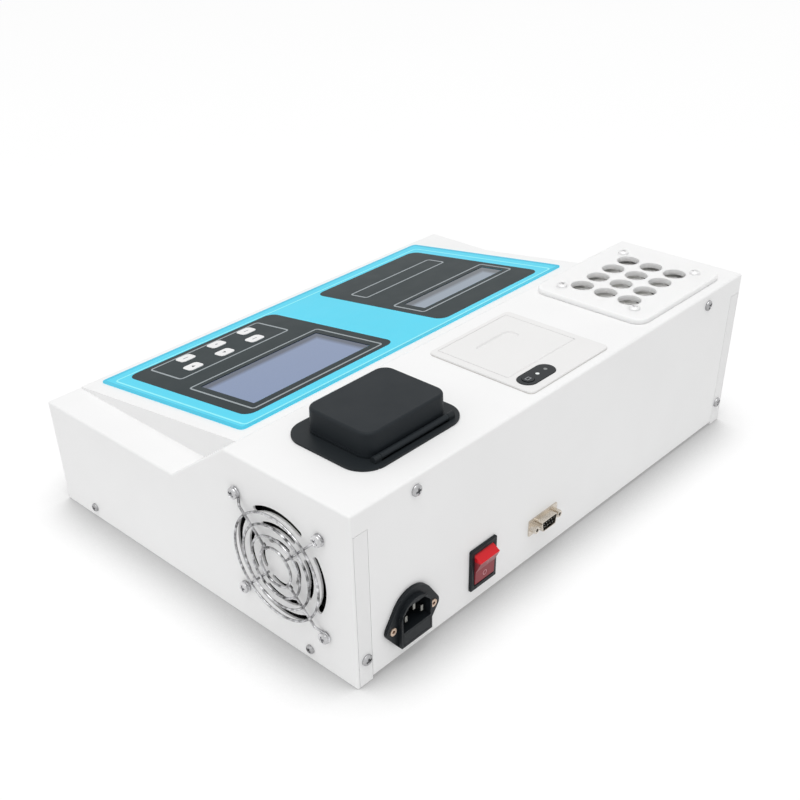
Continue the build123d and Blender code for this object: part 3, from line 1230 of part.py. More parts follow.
# Serial socket: metal shell with its flange, insert, pins and jack screws
with BuildPart() as serial_shell:
    with BuildSketch(serial_at(0)):
        RectangleRounded(SERIAL_FLANGE[0], SERIAL_FLANGE[1], SERIAL_FLANGE[2])
    extrude(amount=SERIAL_FLANGE[2])
    with BuildSketch(serial_at(0)) as outer_shell:
        with BuildLine():
            Polyline(*shell_outline(0), close=True)
        make_face()
        fillet(outer_shell.vertices(), SERIAL_TAPER)
    extrude(amount=SERIAL_SHELL[2])
    with BuildSketch(serial_at(0)) as inner_shell:
        with BuildLine():
            Polyline(*shell_outline(SERIAL_SHELL_WALL), close=True)
        make_face()
        fillet(inner_shell.vertices(), SERIAL_TAPER - SERIAL_SHELL_WALL)
        with GridLocations(JACK_SPACING, 1, 2, 1):
            Circle(JACK_STEM_RADIUS + HINGE_FIT)
    extrude(amount=SERIAL_SHELL[2], mode=Mode.SUBTRACT)
save(serial_shell, "serial_shell")

with BuildPart() as serial_insert:
    with BuildSketch(serial_at(0)):
        Rectangle(SERIAL_BODY[0], SERIAL_BODY[1])
    extrude(amount=-SERIAL_BODY[2])
    with BuildSketch(serial_at(0)) as core:
        with BuildLine():
            Polyline(*shell_outline(SERIAL_SHELL_WALL + HINGE_FIT), close=True)
        make_face()
        fillet(core.vertices(), SERIAL_TAPER - SERIAL_SHELL_WALL)
    extrude(amount=SERIAL_INSERT_FACE)
save(serial_insert, "serial_insert")

pin_places = [((i - 2) * SERIAL_PIN_PITCH, SERIAL_ROW_GAP / 2) for i in range(5)]
pin_places += [((i - 1.5) * SERIAL_PIN_PITCH, -SERIAL_ROW_GAP / 2) for i in range(4)]
with BuildPart() as serial_pins:
    with BuildSketch(serial_at(SERIAL_INSERT_FACE)):
        with Locations(*pin_places):
            Circle(SERIAL_PIN_RADIUS)
    extrude(amount=SERIAL_PIN_LENGTH)
save(serial_pins, "serial_pins")

with BuildPart() as serial_jacks:
    with BuildSketch(serial_at(SERIAL_FLANGE[2])):
        with GridLocations(JACK_SPACING, 1, 2, 1):
            RegularPolygon(JACK_FLATS / 2, 6, major_radius=False)
    extrude(amount=JACK_HEIGHT)
    with BuildSketch(serial_at(SERIAL_FLANGE[2])):
        with GridLocations(JACK_SPACING, 1, 2, 1):
            Circle(JACK_STEM_RADIUS)
    extrude(amount=-(SERIAL_FLANGE[2] + 3 * WALL))
    with BuildSketch(serial_at(SERIAL_FLANGE[2] + JACK_HEIGHT)):
        with GridLocations(JACK_SPACING, 1, 2, 1):
            Circle(JACK_BORE_RADIUS)
    extrude(amount=-JACK_HEIGHT, mode=Mode.SUBTRACT)
save(serial_jacks, "serial_jacks")

# Power supply box and main board inside, on the tray
supply_x = x_of(SUPPLY_CENTRE[0])
supply_y = y_of(SUPPLY_CENTRE[1])
terminal_shelf = SUPPLY_SIZE[2] / 2
with BuildPart() as power_supply:
    with BuildSketch(Plane.XY.offset(tray_top)):
        with Locations((supply_x, supply_y)):
            Rectangle(SUPPLY_SIZE[0], SUPPLY_SIZE[1])
    extrude(amount=SUPPLY_SIZE[2])
    with BuildSketch(Plane.XY.offset(tray_top + SUPPLY_SIZE[2] / 2)):
        with Locations((supply_x - (SUPPLY_SIZE[0] - terminal_shelf) / 2, supply_y)):
            Rectangle(terminal_shelf, SUPPLY_SIZE[1])
    extrude(amount=SUPPLY_SIZE[2], mode=Mode.SUBTRACT)
save(power_supply, "power_supply")

board_holes = (BOARD_SIZE[0] - 2 * STANDOFF_INSET, BOARD_SIZE[1] - 2 * STANDOFF_INSET)
with BuildPart() as board_standoffs:
    with BuildSketch(Plane.XY.offset(tray_top)):
        with Locations(BOARD_CENTRE):
            with GridLocations(*board_holes, 2, 2):
                Circle(STANDOFF_RADIUS)
    extrude(amount=STANDOFF_HEIGHT)
save(board_standoffs, "board_standoffs")

with BuildPart() as main_board:
    with BuildSketch(Plane.XY.offset(tray_top + STANDOFF_HEIGHT)):
        with Locations(BOARD_CENTRE):
            Rectangle(BOARD_SIZE[0], BOARD_SIZE[1])
    extrude(amount=BOARD_SIZE[2])
save(main_board, "main_board")
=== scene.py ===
"""Looks of the bench water quality tester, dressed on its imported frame. All sizes are in metres."""

import math

import bmesh
import bpy
from mathutils import Matrix, Vector
from mathutils.geometry import tessellate_polygon


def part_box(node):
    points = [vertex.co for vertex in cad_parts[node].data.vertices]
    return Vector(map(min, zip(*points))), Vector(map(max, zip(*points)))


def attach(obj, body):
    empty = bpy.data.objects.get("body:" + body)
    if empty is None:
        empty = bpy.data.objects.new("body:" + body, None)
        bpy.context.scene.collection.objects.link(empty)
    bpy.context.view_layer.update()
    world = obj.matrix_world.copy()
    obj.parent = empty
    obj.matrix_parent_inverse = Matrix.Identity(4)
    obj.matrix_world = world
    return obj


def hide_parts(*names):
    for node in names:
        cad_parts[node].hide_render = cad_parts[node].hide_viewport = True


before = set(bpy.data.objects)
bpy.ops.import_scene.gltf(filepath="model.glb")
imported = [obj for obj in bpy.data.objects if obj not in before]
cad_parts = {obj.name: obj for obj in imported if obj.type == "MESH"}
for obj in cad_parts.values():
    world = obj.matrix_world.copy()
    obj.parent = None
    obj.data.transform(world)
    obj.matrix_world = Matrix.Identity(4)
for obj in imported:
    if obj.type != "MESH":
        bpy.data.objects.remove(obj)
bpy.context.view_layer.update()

MM = 0.001


# Colours

WHITE = (1.0, 1.0, 1.0)
WHITE_PAINT = (0.93, 0.93, 0.93)
OVERLAY_BLUE = (0.085, 0.70, 0.92)
OVERLAY_EDGE = (0.055, 0.58, 0.80)
OVERLAY_LIGHT = (0.30, 0.90, 0.98)
PANEL_GREY = (0.0155, 0.0265, 0.030)
OUTLINE_GREY = (0.36, 0.40, 0.42)
DARK_INK = (0.03, 0.03, 0.035)
PALE_INK = (0.42, 0.43, 0.45)
FAINT_INK = (0.62, 0.30, 0.34)
LCD_LAVENDER = (0.193, 0.263, 0.433)
LCD_GREY = (0.250, 0.308, 0.384)
MASK_GREEN = (0.02, 0.16, 0.07)
TRACK_GREEN = (0.05, 0.30, 0.14)
PAPER_EDGE = (0.78, 0.77, 0.74)
PAPER_FACE = (0.90, 0.90, 0.88)
# The rocker's red darkened as painted shade for its lower face, and its red
ROCKER_PAINTED_SHADE = (0.27, 0.035, 0.045)
ROCKER_BRIGHT = (0.70, 0.014, 0.022)
# The heating block's black, which also paints the shade deep in its bores, and the pale tops of its bores
BLOCK_BLACK_AND_BORE_SHADE = (0.014, 0.013, 0.012)
BORE_PALE = (0.94, 0.93, 0.90)
LENS_DIM = (0.22, 0.23, 0.23)
LENS_LIT = (0.90, 0.93, 0.92)
FUSE_CLEAR = (0.90, 0.93, 0.93)
FLOOR_DARK = (0.93, 0.93, 0.93)
FLOOR_LIGHT = (0.95, 0.95, 0.95)


# Surfaces. Patterns are given in repeats per metre.

MATT = {"Specular_IOR_Level": 0.18}
SATIN = {"Specular_IOR_Level": 0.15}
DULL = {"Specular_IOR_Level": 0.09}
SOFT_PLASTIC = {"Subsurface_Weight": 0.8, "Subsurface_Radius": (1, 1, 1), "Subsurface_Scale": 3 * MM}

# Paint, print and moulded plastic: colour, roughness, grain, its depth, mottle and other sockets
GRAINED = {
    "case_paint": (WHITE_PAINT, 0.42, 1300.0, 0.03 * MM, 0.02, {}),
    "tray_paint": ((0.90, 0.90, 0.90), 0.45, 1300.0, 0.03 * MM, 0.03, {}),
    "plate_paint": ((0.93, 0.93, 0.925), 0.40, 1500.0, 0.03 * MM, 0.02, SOFT_PLASTIC),
    "rubber": ((0.025, 0.025, 0.027), 0.75, 2600.0, 0.05 * MM, 0.2, MATT),
    "overlay_film": (OVERLAY_BLUE, 0.36, 2200.0, 0.015 * MM, 0.03, SATIN),
    "overlay_edge": (OVERLAY_EDGE, 0.36, 2200.0, 0.015 * MM, 0.05, SATIN),
    "overlay_light": (OVERLAY_LIGHT, 0.36, 2200.0, 0.015 * MM, 0.03, SATIN),
    "panel_print": (PANEL_GREY, 0.38, 2200.0, 0.015 * MM, 0.06, DULL),
    "outline_print": (OUTLINE_GREY, 0.38, 2200.0, 0.015 * MM, 0.05, DULL),
    "symbol_print": (DARK_INK, 0.4, 2200.0, 0.01 * MM, 0.05, DULL),
    "pale_symbol": (PALE_INK, 0.4, 2200.0, 0.01 * MM, 0.05, DULL),
    "faint_print": (FAINT_INK, 0.4, 2200.0, 0.01 * MM, 0.05, {}),
    "module_black": ((0.02, 0.022, 0.022), 0.5, 1500.0, 0.03 * MM, 0.06, MATT),
    "key_white": ((0.88, 0.88, 0.885), 0.38, 2600.0, 0.015 * MM, 0.03, {}),
    "lid_plastic": ((0.0155, 0.020, 0.024), 0.52, 1900.0, 0.05 * MM, 0.12, MATT),
    "flange_plastic": ((0.015, 0.019, 0.022), 0.5, 1900.0, 0.05 * MM, 0.12, MATT),
    "cell_black": ((0.012, 0.012, 0.013), 0.4, 1200.0, 0.03 * MM, 0.2, MATT),
    "printer_plastic": ((0.845, 0.84, 0.835), 0.42, 2100.0, 0.03 * MM, 0.02, {}),
    "edge_shadow": ((0.60, 0.585, 0.56), 0.8, 1500.0, 0.02 * MM, 0.1, {}),
    "head_glaze": ((0.42, 0.38, 0.30), 0.12, 700.0, 0.01 * MM, 0.15, {}),
    "insert_gloss": ((0.018, 0.021, 0.024), 0.24, 1600.0, 0.01 * MM, 0.1, SATIN),
    "felt_board": ((0.72, 0.70, 0.62), 0.95, 500.0, 0.3 * MM, 0.15, {}),
    "fan_black": ((0.012, 0.012, 0.013), 0.45, 1800.0, 0.03 * MM, 0.15, MATT),
    "inlet_plastic": ((0.014, 0.017, 0.020), 0.4, 1900.0, 0.03 * MM, 0.15, MATT),
}

# Their mottle and its share that is lighter than the colour, their uneven gloss, and their grain
MOTTLE_SCALE = 14.0
LIGHT_MOTTLE = 1 / 3
GLOSS_SCALE = 60.0
UNEVEN_GLOSS = 0.15
GRAIN_STRENGTH = 0.35

# Bare metal: colour, roughness, stretch of the drawn lines, lines, darkest spot and spots (tarnish; on
# chrome painted reflections)
EVEN = (1, 1, 1)
BRUSHED = {
    "screw_steel": ((0.58, 0.58, 0.59), 0.22, EVEN, 700.0, 0.55, 120.0),
    "bright_steel": ((0.76, 0.76, 0.77), 0.14, EVEN, 500.0, 0.6, 120.0),
    "pale_steel": ((0.88, 0.88, 0.88), 0.3, EVEN, 500.0, 0.9, 120.0),
    "block_metal": ((0.58, 0.58, 0.59), 0.34, (1, 40, 1), 240.0, 0.78, 120.0),
    # Chrome's near-black spots are painted dark reflections
    "chrome": ((0.80, 0.80, 0.82), 0.08, EVEN, 420.0, 0.03, 230.0),
    "brass": ((0.72, 0.46, 0.26), 0.25, EVEN, 500.0, 0.78, 120.0),
    "eyelet_metal": ((0.78, 0.60, 0.47), 0.3, EVEN, 500.0, 0.78, 120.0),
    "pin_metal": ((0.28, 0.28, 0.26), 0.28, EVEN, 700.0, 0.78, 120.0),
    "nickel": ((0.74, 0.68, 0.60), 0.26, EVEN, 800.0, 0.78, 120.0),
    "folded_aluminium": ((0.62, 0.63, 0.65), 0.36, (40, 1, 1), 300.0, 0.78, 120.0),
}

# Least and most roughness of bare metal, as shares of the table's
POLISHED, SCRATCHED = 0.7, 1.4

# Display cells: their pixels, and the shadow along two edges
MAIN_PIXEL = 0.6 * MM
SMALL_PIXEL = 0.8 * MM
PIXEL_GAP = 0.08
PIXEL_SHADE = 0.985
GAP_SHADE = 0.93
LCD_SHADOW = 0.28
LCD_BAND = 6.4 * MM
LCD_SOFT = 5 * MM

# Where painted shade starts below the rocker's ridge and the block's top, and where lenses go from dim to
# lit
ROCKER_SHADE = (1.0 * MM, 0.2 * MM)
PALE_DEPTH = 6.2 * MM
PALE_SOFT = 0.8 * MM
LENS_SOFT = 0.2 * MM

# The darkest streak in clear glass, as a share of its colour
STREAK_SHADE = 0.97

# The Mix node's sockets, when it mixes colours
MIX_FACTOR, MIX_FIRST, MIX_SECOND, MIX_RESULT = 0, 6, 7, 2


# Prints and signs

# The console's slope, its overlay, and the thickness and widths of what is printed on that
CONSOLE_RISE = 24.44 * MM
CONSOLE_RUN = 176.0 * MM
CONSOLE_SLOPE = math.atan2(CONSOLE_RISE, CONSOLE_RUN)
OVERLAY_THICKNESS = 0.8 * MM
FILM = 0.06 * MM
LINE_WIDTH = 1.5 * MM
EDGE_BAND = 3.0 * MM

# Printed rectangles, as their left, right, upper and lower limits from the overlay's corner
MAIN_PANEL = (15.3 * MM, 155.6 * MM, 12.7 * MM, 149.6 * MM)
SMALL_PANEL = (203.5 * MM, 322.6 * MM, 9.4 * MM, 147.6 * MM)
MAIN_WINDOW = (24.2 * MM, 148.2 * MM, 17.1 * MM, 88.0 * MM)
KEY_WINDOW = (31.4 * MM, 136.6 * MM, 106.0 * MM, 144.8 * MM)
NAME_WINDOW = (214.8 * MM, 311.0 * MM, 99.6 * MM, 119.2 * MM)
SMALL_WINDOW = (209.6 * MM, 318.2 * MM, 33.1 * MM, 66.8 * MM)
MAIN_CELL = (31.1 * MM, 141.8 * MM, 24.6 * MM, 82.2 * MM)
SMALL_CELL = (217.1 * MM, 312.9 * MM, 39.1 * MM, 61.0 * MM)
LIGHT_LINE = (5.2 * MM, 330.9 * MM, 3.1 * MM, 152.3 * MM)
PANEL_CORNER = 8.0 * MM
WINDOW_CORNER = 3.2 * MM
CELL_CORNER = 0.4 * MM
OVERLAY_CORNER = 4.0 * MM
KEY_CORNER = 3.0 * MM
KEY_MARGIN = 0.08 * MM

# Signs: rounded bars as width, height and corner, and how thick the ink is
ARROW_DOWN = 1.9 * MM
ARROW_UP = 1.7 * MM
ARROW_BACK = 0.6
ARROW_HALF = 0.85
KEY_BAR = (4.6 * MM, 1.3 * MM, 0.5 * MM)
KEY_DOT = 1.2 * MM
KEY_INK = 0.05 * MM
FEED_SHEET = (4.0 * MM, 2.8 * MM, 0.4 * MM)
FEED_INSIDE = (3.2 * MM, 2.0 * MM, 0.2 * MM)
FEED_INK = 0.04 * MM
OFF_RING = (1.9 * MM, 1.45 * MM)
ON_BAR = (0.6 * MM, 3.8 * MM, 0.2 * MM)
ROCKER_INK = 0.03 * MM

# The ring of painted shadow under the printer's bezel, and the web below the lid's hinge
BEZEL_CORNER = 4.0 * MM
BEZEL_SHADOW_OUT = 0.1 * MM
BEZEL_SHADOW_IN = 0.2 * MM
BEZEL_SHADOW_HEIGHT = 0.45 * MM
HINGE_WEB = (58.4 * MM, 4.4 * MM, 0.1 * MM)
WEB_THICKNESS = 0.1 * MM

# Corners of a rectangle, counter-clockwise, and how finely curves are drawn
QUADRANTS = ((1, 1), (-1, 1), (-1, -1), (1, -1))
CORNER_STEPS = 6
CIRCLE_STEPS = 24

# How squarely a face must look along a direction, and how level its neighbours are with it
FACING = 0.6
PARALLEL = 0.999
LEVEL = 0.01 * MM


# Screws

# The pan head's profile, its cross recess and the shank, as shares of the head's radius and height
HEAD_HEIGHT = 2.2 * MM
HEAD_PROFILE = ((1.0, 0.0), (1.0, 0.28), (0.965, 0.55), (0.85, 0.80), (0.62, 0.95), (0.3, 1.0))
HEAD_STEPS = 32
CROSS_REACH = 0.62
CROSS_ARM = 0.34
CROSS_TAPER = 0.72
CROSS_FLOOR = 0.35
CROSS_ABOVE = 1.3
SHANK = 0.48
SHANK_STEPS = 16

# Each cross stands at another angle, in degrees
FIRST_TURN = 20
TURN_STEP = 37

# Vertices that are nearer than this are one
WELD = 1e-6


# Floor, light and camera

# The floor, how much of it glows to the camera, how far its painted contact shadow reaches, and the world
# as a light
FLOOR_SIZE = 6.0
FLOOR_GLOW = 0.8
SHADOW_REACH = 0.055
SHADOW_SAMPLES = 16
WORLD_LIGHT = 0.64

# How open the floor is, from beside the object to away from it, and how it glows there, dimmer beside the
# object as painted contact shadow
OPEN_SPAN = (0.35, 0.98)
GLOW_SPAN = (0.36, 1.05)

# Size and target of the lamps, and their places and watts
LAMP_SIZE = 1.6
LAMP_TARGET = (0, 0, 0.05)
MAIN_LAMP, MAIN_POWER = (0.4, 0.3, 2.1), 18.5
FILL_LAMP, FILL_POWER = (1.7, -0.6, 0.8), 1.0

# Sensor and lens in millimetres, as Blender takes them
SENSOR_WIDTH = 36.0
LENS = 49.17
SHIFT_X, SHIFT_Y = 0.0439, 0.127
CAMERA_PLACE = (0.5319, 0.4927, 0.4597)
CAMERA_RIGHT = (-0.695, 0.718, -0.034)
CAMERA_FORWARD = (-0.578, -0.585, -0.569)


# The finish of every CAD node

NODE_FINISH = {
    "main_cover": "case_paint",
    "base_tray": "tray_paint",
    "console_hood": "case_paint",
    "rubber_feet": "rubber",
    "cover_screws": "screw_steel",
    "overlay_sheet": "overlay_film",
    "main_display_glass": "main_lcd",
    "small_display_glass": "small_lcd",
    "main_display_module": "module_black",
    "small_display_module": "module_black",
    "keypad_board": "circuit_board",
    "photometer_flange": "flange_plastic",
    "photometer_lid": "lid_plastic",
    "lid_hinge_pin": "bright_steel",
    "light_seal": "rubber",
    "cell_block": "cell_black",
    "lamp_board": "circuit_board",
    "detector_board": "circuit_board",
    "printer_housing": "printer_plastic",
    "printer_door": "printer_plastic",
    "door_hinge_pin": "bright_steel",
    "platen_roller": "rubber",
    "thermal_head": "head_glaze",
    "paper_spindle": "printer_plastic",
    "paper_roll": "paper",
    "control_insert": "insert_gloss",
    "feed_button": "insert_gloss",
    "status_lenses": "lit_lens",
    "printer_board": "circuit_board",
    "block_cover": "plate_paint",
    "block_screws": "pale_steel",
    "heater_block": "block_black_and_bore_shade",
    "temperature_probe": "bright_steel",
    "heater_plate": "block_metal",
    "block_insulation": "felt_board",
    "block_posts": "block_metal",
    "fan_frame": "fan_black",
    "fan_rotor": "fan_black",
    "finger_guard": "chrome",
    "fan_screws": "bright_steel",
    "inlet_body": "inlet_plastic",
    "inlet_pins": "pin_metal",
    "inlet_rivets": "eyelet_metal",
    "fuse_drawer": "inlet_plastic",
    "fuse": "fuse_glass",
    "switch_bezel": "inlet_plastic",
    "rocker": "rocker_red",
    "serial_shell": "nickel",
    "serial_insert": "inlet_plastic",
    "serial_pins": "pin_metal",
    "serial_jacks": "nickel",
    "power_supply": "folded_aluminium",
    "board_standoffs": "brass",
    "main_board": "circuit_board",
}
KEYS = [f"key_{number}" for number in range(1, 7)]
NODE_FINISH.update({key: "key_white" for key in KEYS})


# Shader nodes

def set_up(node, **values):
    """Sets a node's inputs and properties by name, with _ for the spaces in an input's name."""
    for name, value in values.items():
        socket = name.replace("_", " ")
        if socket in node.inputs:
            node.inputs[socket].default_value = value
        else:
            setattr(node, name, value)
    return node


def grow(tree, kind, **values):
    """Adds a shader node and sets it up."""
    return set_up(tree.nodes.new(kind), **values)


def start_material(name, roughness, metallic=0.0, **sockets):
    """A material with one Principled shader, and object coordinates to feed its patterns."""
    material = bpy.data.materials.new(name)
    material.use_nodes = True
    tree = material.node_tree
    shader = set_up(tree.nodes["Principled BSDF"], Roughness=roughness, Metallic=metallic, **sockets)
    place = grow(tree, "ShaderNodeTexCoord")
    return material, tree, shader, place.outputs["Object"]


def noise(tree, place, scale, detail=3.0, stretch=EVEN):
    """Noise at the given scale, stretched along the axes."""
    mapping = grow(tree, "ShaderNodeMapping", Scale=stretch)
    texture = grow(tree, "ShaderNodeTexNoise", Scale=scale, Detail=detail)
    tree.links.new(place, mapping.inputs["Vector"])
    tree.links.new(mapping.outputs["Vector"], texture.inputs["Vector"])
    return texture.outputs["Fac"]


def calculate(tree, operation, *terms):
    """Maths node over numbers and the outputs of other nodes."""
    node = grow(tree, "ShaderNodeMath", operation=operation)
    for socket, term in zip(node.inputs, terms):
        if isinstance(term, float):
            socket.default_value = term
        else:
            tree.links.new(term, socket)
    return node.outputs["Value"]


def map_range(tree, value, start, end, low, high, **more):
    """The value, mapped from start and end to low and high."""
    node = grow(tree, "ShaderNodeMapRange", From_Min=start, From_Max=end, To_Min=low, To_Max=high, **more)
    tree.links.new(value, node.inputs["Value"])
    return node.outputs["Result"]


def mix_shaders(tree, factor, first, second):
    """The first shader where the factor is 0, and the second where it is 1."""
    mixer = grow(tree, "ShaderNodeMixShader")
    for socket, source in zip(mixer.inputs, (factor, first, second)):
        tree.links.new(source, socket)
    return mixer.outputs["Shader"]


def blend_colours(tree, factor, dark, light, low=0.3, high=0.7):
    """Colour ramp between two colours over a pattern."""
    ramp = grow(tree, "ShaderNodeValToRGB")
    ramp.color_ramp.elements[0].position = low
    ramp.color_ramp.elements[1].position = high
    ramp.color_ramp.elements[0].color = (*dark, 1)
    ramp.color_ramp.elements[1].color = (*light, 1)
    tree.links.new(factor, ramp.inputs["Fac"])
    return ramp.outputs["Color"]


def paint(tree, shader, factor, dark, light, **span):
    """Base colour that goes from dark to light over a pattern."""
    tree.links.new(blend_colours(tree, factor, dark, light, **span), shader.inputs["Base Color"])


def bump(tree, shader, height, strength, depth):
    """Bump of the given depth on the shader's normal."""
    node = grow(tree, "ShaderNodeBump", Strength=strength, Distance=depth)
    tree.links.new(height, node.inputs["Height"])
    tree.links.new(node.outputs["Normal"], shader.inputs["Normal"])


def vary_roughness(tree, shader, factor, low, high):
    """Roughness that follows a pattern between two values."""
    tree.links.new(map_range(tree, factor, 0, 1, low, high), shader.inputs["Roughness"])


def step_along(tree, place, axis, start, end, waver, scale):
    """0 before start and 1 after end along an axis, plus a waver of noise."""
    split = grow(tree, "ShaderNodeSeparateXYZ")
    tree.links.new(place, split.inputs["Vector"])
    part = map_range(tree, split.outputs[axis], start, end, 0, 1)
    return calculate(tree, "MULTIPLY_ADD", noise(tree, place, scale), waver, part)


def shade(colour, amount):
    """The colour made darker or lighter by a factor."""
    return tuple(min(1.0, channel * amount) for channel in colour)


# Materials

def grained(name, colour, roughness, grain, depth, mottle, sockets):
    """Paint, print or moulded plastic: a fine surface grain, a faint mottle and uneven gloss."""
    material, tree, shader, place = start_material(name, roughness, **sockets)
    light = shade(colour, 1 + mottle * LIGHT_MOTTLE)
    paint(tree, shader, noise(tree, place, MOTTLE_SCALE), shade(colour, 1 - mottle), light)
    low, high = roughness * (1 - UNEVEN_GLOSS), min(1.0, roughness * (1 + UNEVEN_GLOSS))
    vary_roughness(tree, shader, noise(tree, place, GLOSS_SCALE), low, high)
    bump(tree, shader, noise(tree, place, grain), GRAIN_STRENGTH, depth)
    return material


def brushed(name, colour, roughness, stretch, scratch, dark, spots):
    """Bare metal with fine drawn lines and spots down to the colour times dark: tarnish, on chrome painted
    reflections.
    """
    material, tree, shader, place = start_material(name, roughness, metallic=1.0)
    lines = noise(tree, place, scratch, detail=4.0, stretch=stretch)
    paint(tree, shader, noise(tree, place, spots), shade(colour, dark), colour)
    vary_roughness(tree, shader, lines, roughness * POLISHED, roughness * SCRATCHED)
    bump(tree, shader, lines, strength=0.15, depth=0.02 * MM)
    return material


def lcd_cell(name, colour, pixel, node):
    """Unlit display cell: a faint pixel grid, shaded along its front edge and the one off the fan side."""
    material, tree, shader, place = start_material(
        name, roughness=0.12, Specular_IOR_Level=0.25, Coat_Weight=0.15, Coat_Roughness=0.03
    )
    grid = grow(
        tree, "ShaderNodeTexBrick", Scale=1.0, offset=0.0,
        Brick_Width=pixel, Row_Height=pixel, Mortar_Size=pixel * PIXEL_GAP,
        Color1=(*colour, 1), Color2=(*shade(colour, PIXEL_SHADE), 1), Mortar=(*shade(colour, GAP_SHADE), 1),
    )
    tree.links.new(place, grid.inputs["Vector"])
    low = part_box(node)[0]
    # Painted shadow in a band along the cell's front edge and its edge away from the fan side
    fades = [
        step_along(tree, place, axis, edge + LCD_BAND, edge + LCD_BAND + LCD_SOFT, waver=0.05, scale=18.0)
        for axis, edge in (("X", low.x), ("Y", low.y))
    ]
    lit = calculate(tree, "MINIMUM", *fades)
    painted_edge_shadow = blend_colours(tree, lit, shade(WHITE, LCD_SHADOW), WHITE, low=0, high=1)
    mix = grow(tree, "ShaderNodeMix", data_type="RGBA", blend_type="MULTIPLY")
    mix.inputs[MIX_FACTOR].default_value = 1.0
    tree.links.new(grid.outputs["Color"], mix.inputs[MIX_FIRST])
    tree.links.new(painted_edge_shadow, mix.inputs[MIX_SECOND])
    tree.links.new(mix.outputs[MIX_RESULT], shader.inputs["Base Color"])
    return material


def circuit(name):
    """Solder mask with copper tracks seen through it."""
    material, tree, shader, place = start_material(name, roughness=0.35, Coat_Weight=0.4)
    cells = grow(tree, "ShaderNodeTexVoronoi", Scale=260.0, distance="MANHATTAN", feature="F1")
    tree.links.new(place, cells.inputs["Vector"])
    paint(tree, shader, cells.outputs["Distance"], MASK_GREEN, TRACK_GREEN, low=0.42, high=0.5)
    bump(tree, shader, cells.outputs["Distance"], strength=0.1, depth=0.05 * MM)
    return material


def wound_paper(name, middle):
    """Thermal paper roll: thin rings of paper edges on the ends."""
    material, tree, shader, place = start_material(name, roughness=0.8)
    mapping = grow(tree, "ShaderNodeMapping", Location=-middle, Scale=(0, 1, 1))
    rings = grow(
        tree, "ShaderNodeTexWave", wave_type="RINGS", rings_direction="X", Scale=700.0, Distortion=1.2
    )
    tree.links.new(place, mapping.inputs["Vector"])
    tree.links.new(mapping.outputs["Vector"], rings.inputs["Vector"])
    paint(tree, shader, rings.outputs["Fac"], PAPER_EDGE, PAPER_FACE, low=0.2, high=0.8)
    bump(tree, shader, rings.outputs["Fac"], strength=0.2, depth=0.05 * MM)
    return material


def red_plastic(name, node):
    """Red rocker, painted darker below its ridge as shade, with faint noise in that shade."""
    material, tree, shader, place = start_material(name, roughness=0.3, Specular_IOR_Level=0.25)
    ridge = max(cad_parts[node].data.vertices, key=lambda vertex: vertex.co.y).co.z
    start, end = ridge - ROCKER_SHADE[0], ridge - ROCKER_SHADE[1]
    # Painted shade on the rocker below its ridge
    painted_shade = step_along(tree, place, "Z", start, end, waver=0.2, scale=220.0)
    paint(tree, shader, painted_shade, ROCKER_PAINTED_SHADE, ROCKER_BRIGHT, low=0.1, high=1)
    return material


def bore_shaded_block(name, top):
    """Black heating block, pale in its top few millimetres where its bores open; the black below paints the
    shade deep in the bores.
    """
    material, tree, shader, place = start_material(name, roughness=0.45, **MATT, **SOFT_PLASTIC)
    start = top - PALE_DEPTH
    # Painted shade deep in the bores: black below the block's pale top
    painted_bore_shade = step_along(tree, place, "Z", start, start + PALE_SOFT, waver=0.3, scale=500.0)
    paint(tree, shader, painted_bore_shade, BLOCK_BLACK_AND_BORE_SHADE, BORE_PALE, low=0.35, high=0.95)
    bump(tree, shader, noise(tree, place, scale=900.0), strength=0.3, depth=0.03 * MM)
    return material


def lit_lenses(name, node):
    """White indicator lenses, of which the one away from the fan side is dim."""
    material, tree, shader, place = start_material(name, roughness=0.2, Specular_IOR_Level=0.3)
    low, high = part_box(node)
    middle = (low.x + high.x) / 2
    side = step_along(tree, place, "X", middle - LENS_SOFT, middle + LENS_SOFT, waver=0.1, scale=900.0)
    paint(tree, shader, side, LENS_DIM, LENS_LIT, low=0, high=1)
    return material


def clear_glass(name, colour):
    """Clear glass with a faint streaky tone."""
    material, tree, shader, place = start_material(name, roughness=0.03, Transmission_Weight=1.0, IOR=1.5)
    paint(tree, shader, noise(tree, place, scale=300.0), shade(colour, STREAK_SHADE), colour)
    return material


def make_materials():
    """Every material by the name that nodes and pieces use."""
    roll_low, roll_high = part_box("paper_roll")
    made = {name: grained(name, *look) for name, look in GRAINED.items()}
    made.update({name: brushed(name, *look) for name, look in BRUSHED.items()})
    made.update({
        "main_lcd": lcd_cell("main_lcd", LCD_LAVENDER, MAIN_PIXEL, "main_display_glass"),
        "small_lcd": lcd_cell("small_lcd", LCD_GREY, SMALL_PIXEL, "small_display_glass"),
        "circuit_board": circuit("circuit_board"),
        "paper": wound_paper("paper", (roll_low + roll_high) / 2),
        "lit_lens": lit_lenses("lit_lens", "status_lenses"),
        "block_black_and_bore_shade": bore_shaded_block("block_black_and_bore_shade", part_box("heater_block")[1].z),
        "rocker_red": red_plastic("rocker_red", "rocker"),
        "fuse_glass": clear_glass("fuse_glass", FUSE_CLEAR),
    })
    return made


def dress_nodes():
    """Gives every CAD node its finish."""
    for name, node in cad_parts.items():
        node.data.materials.clear()
        node.data.materials.append(materials[NODE_FINISH[name]])


# Outlines

def rounded(width, height, radius, middle=(0, 0)):
    """Corner points of a rounded rectangle, counter-clockwise."""
    points = []
    for corner, (sx, sy) in enumerate(QUADRANTS):
        cx = middle[0] + sx * (width / 2 - radius)
        cy = middle[1] + sy * (height / 2 - radius)
        for step in range(CORNER_STEPS + 1):
            angle = math.radians(90 * (corner + step / CORNER_STEPS))
            points.append((cx + radius * math.cos(angle), cy + radius * math.sin(angle)))
    return points


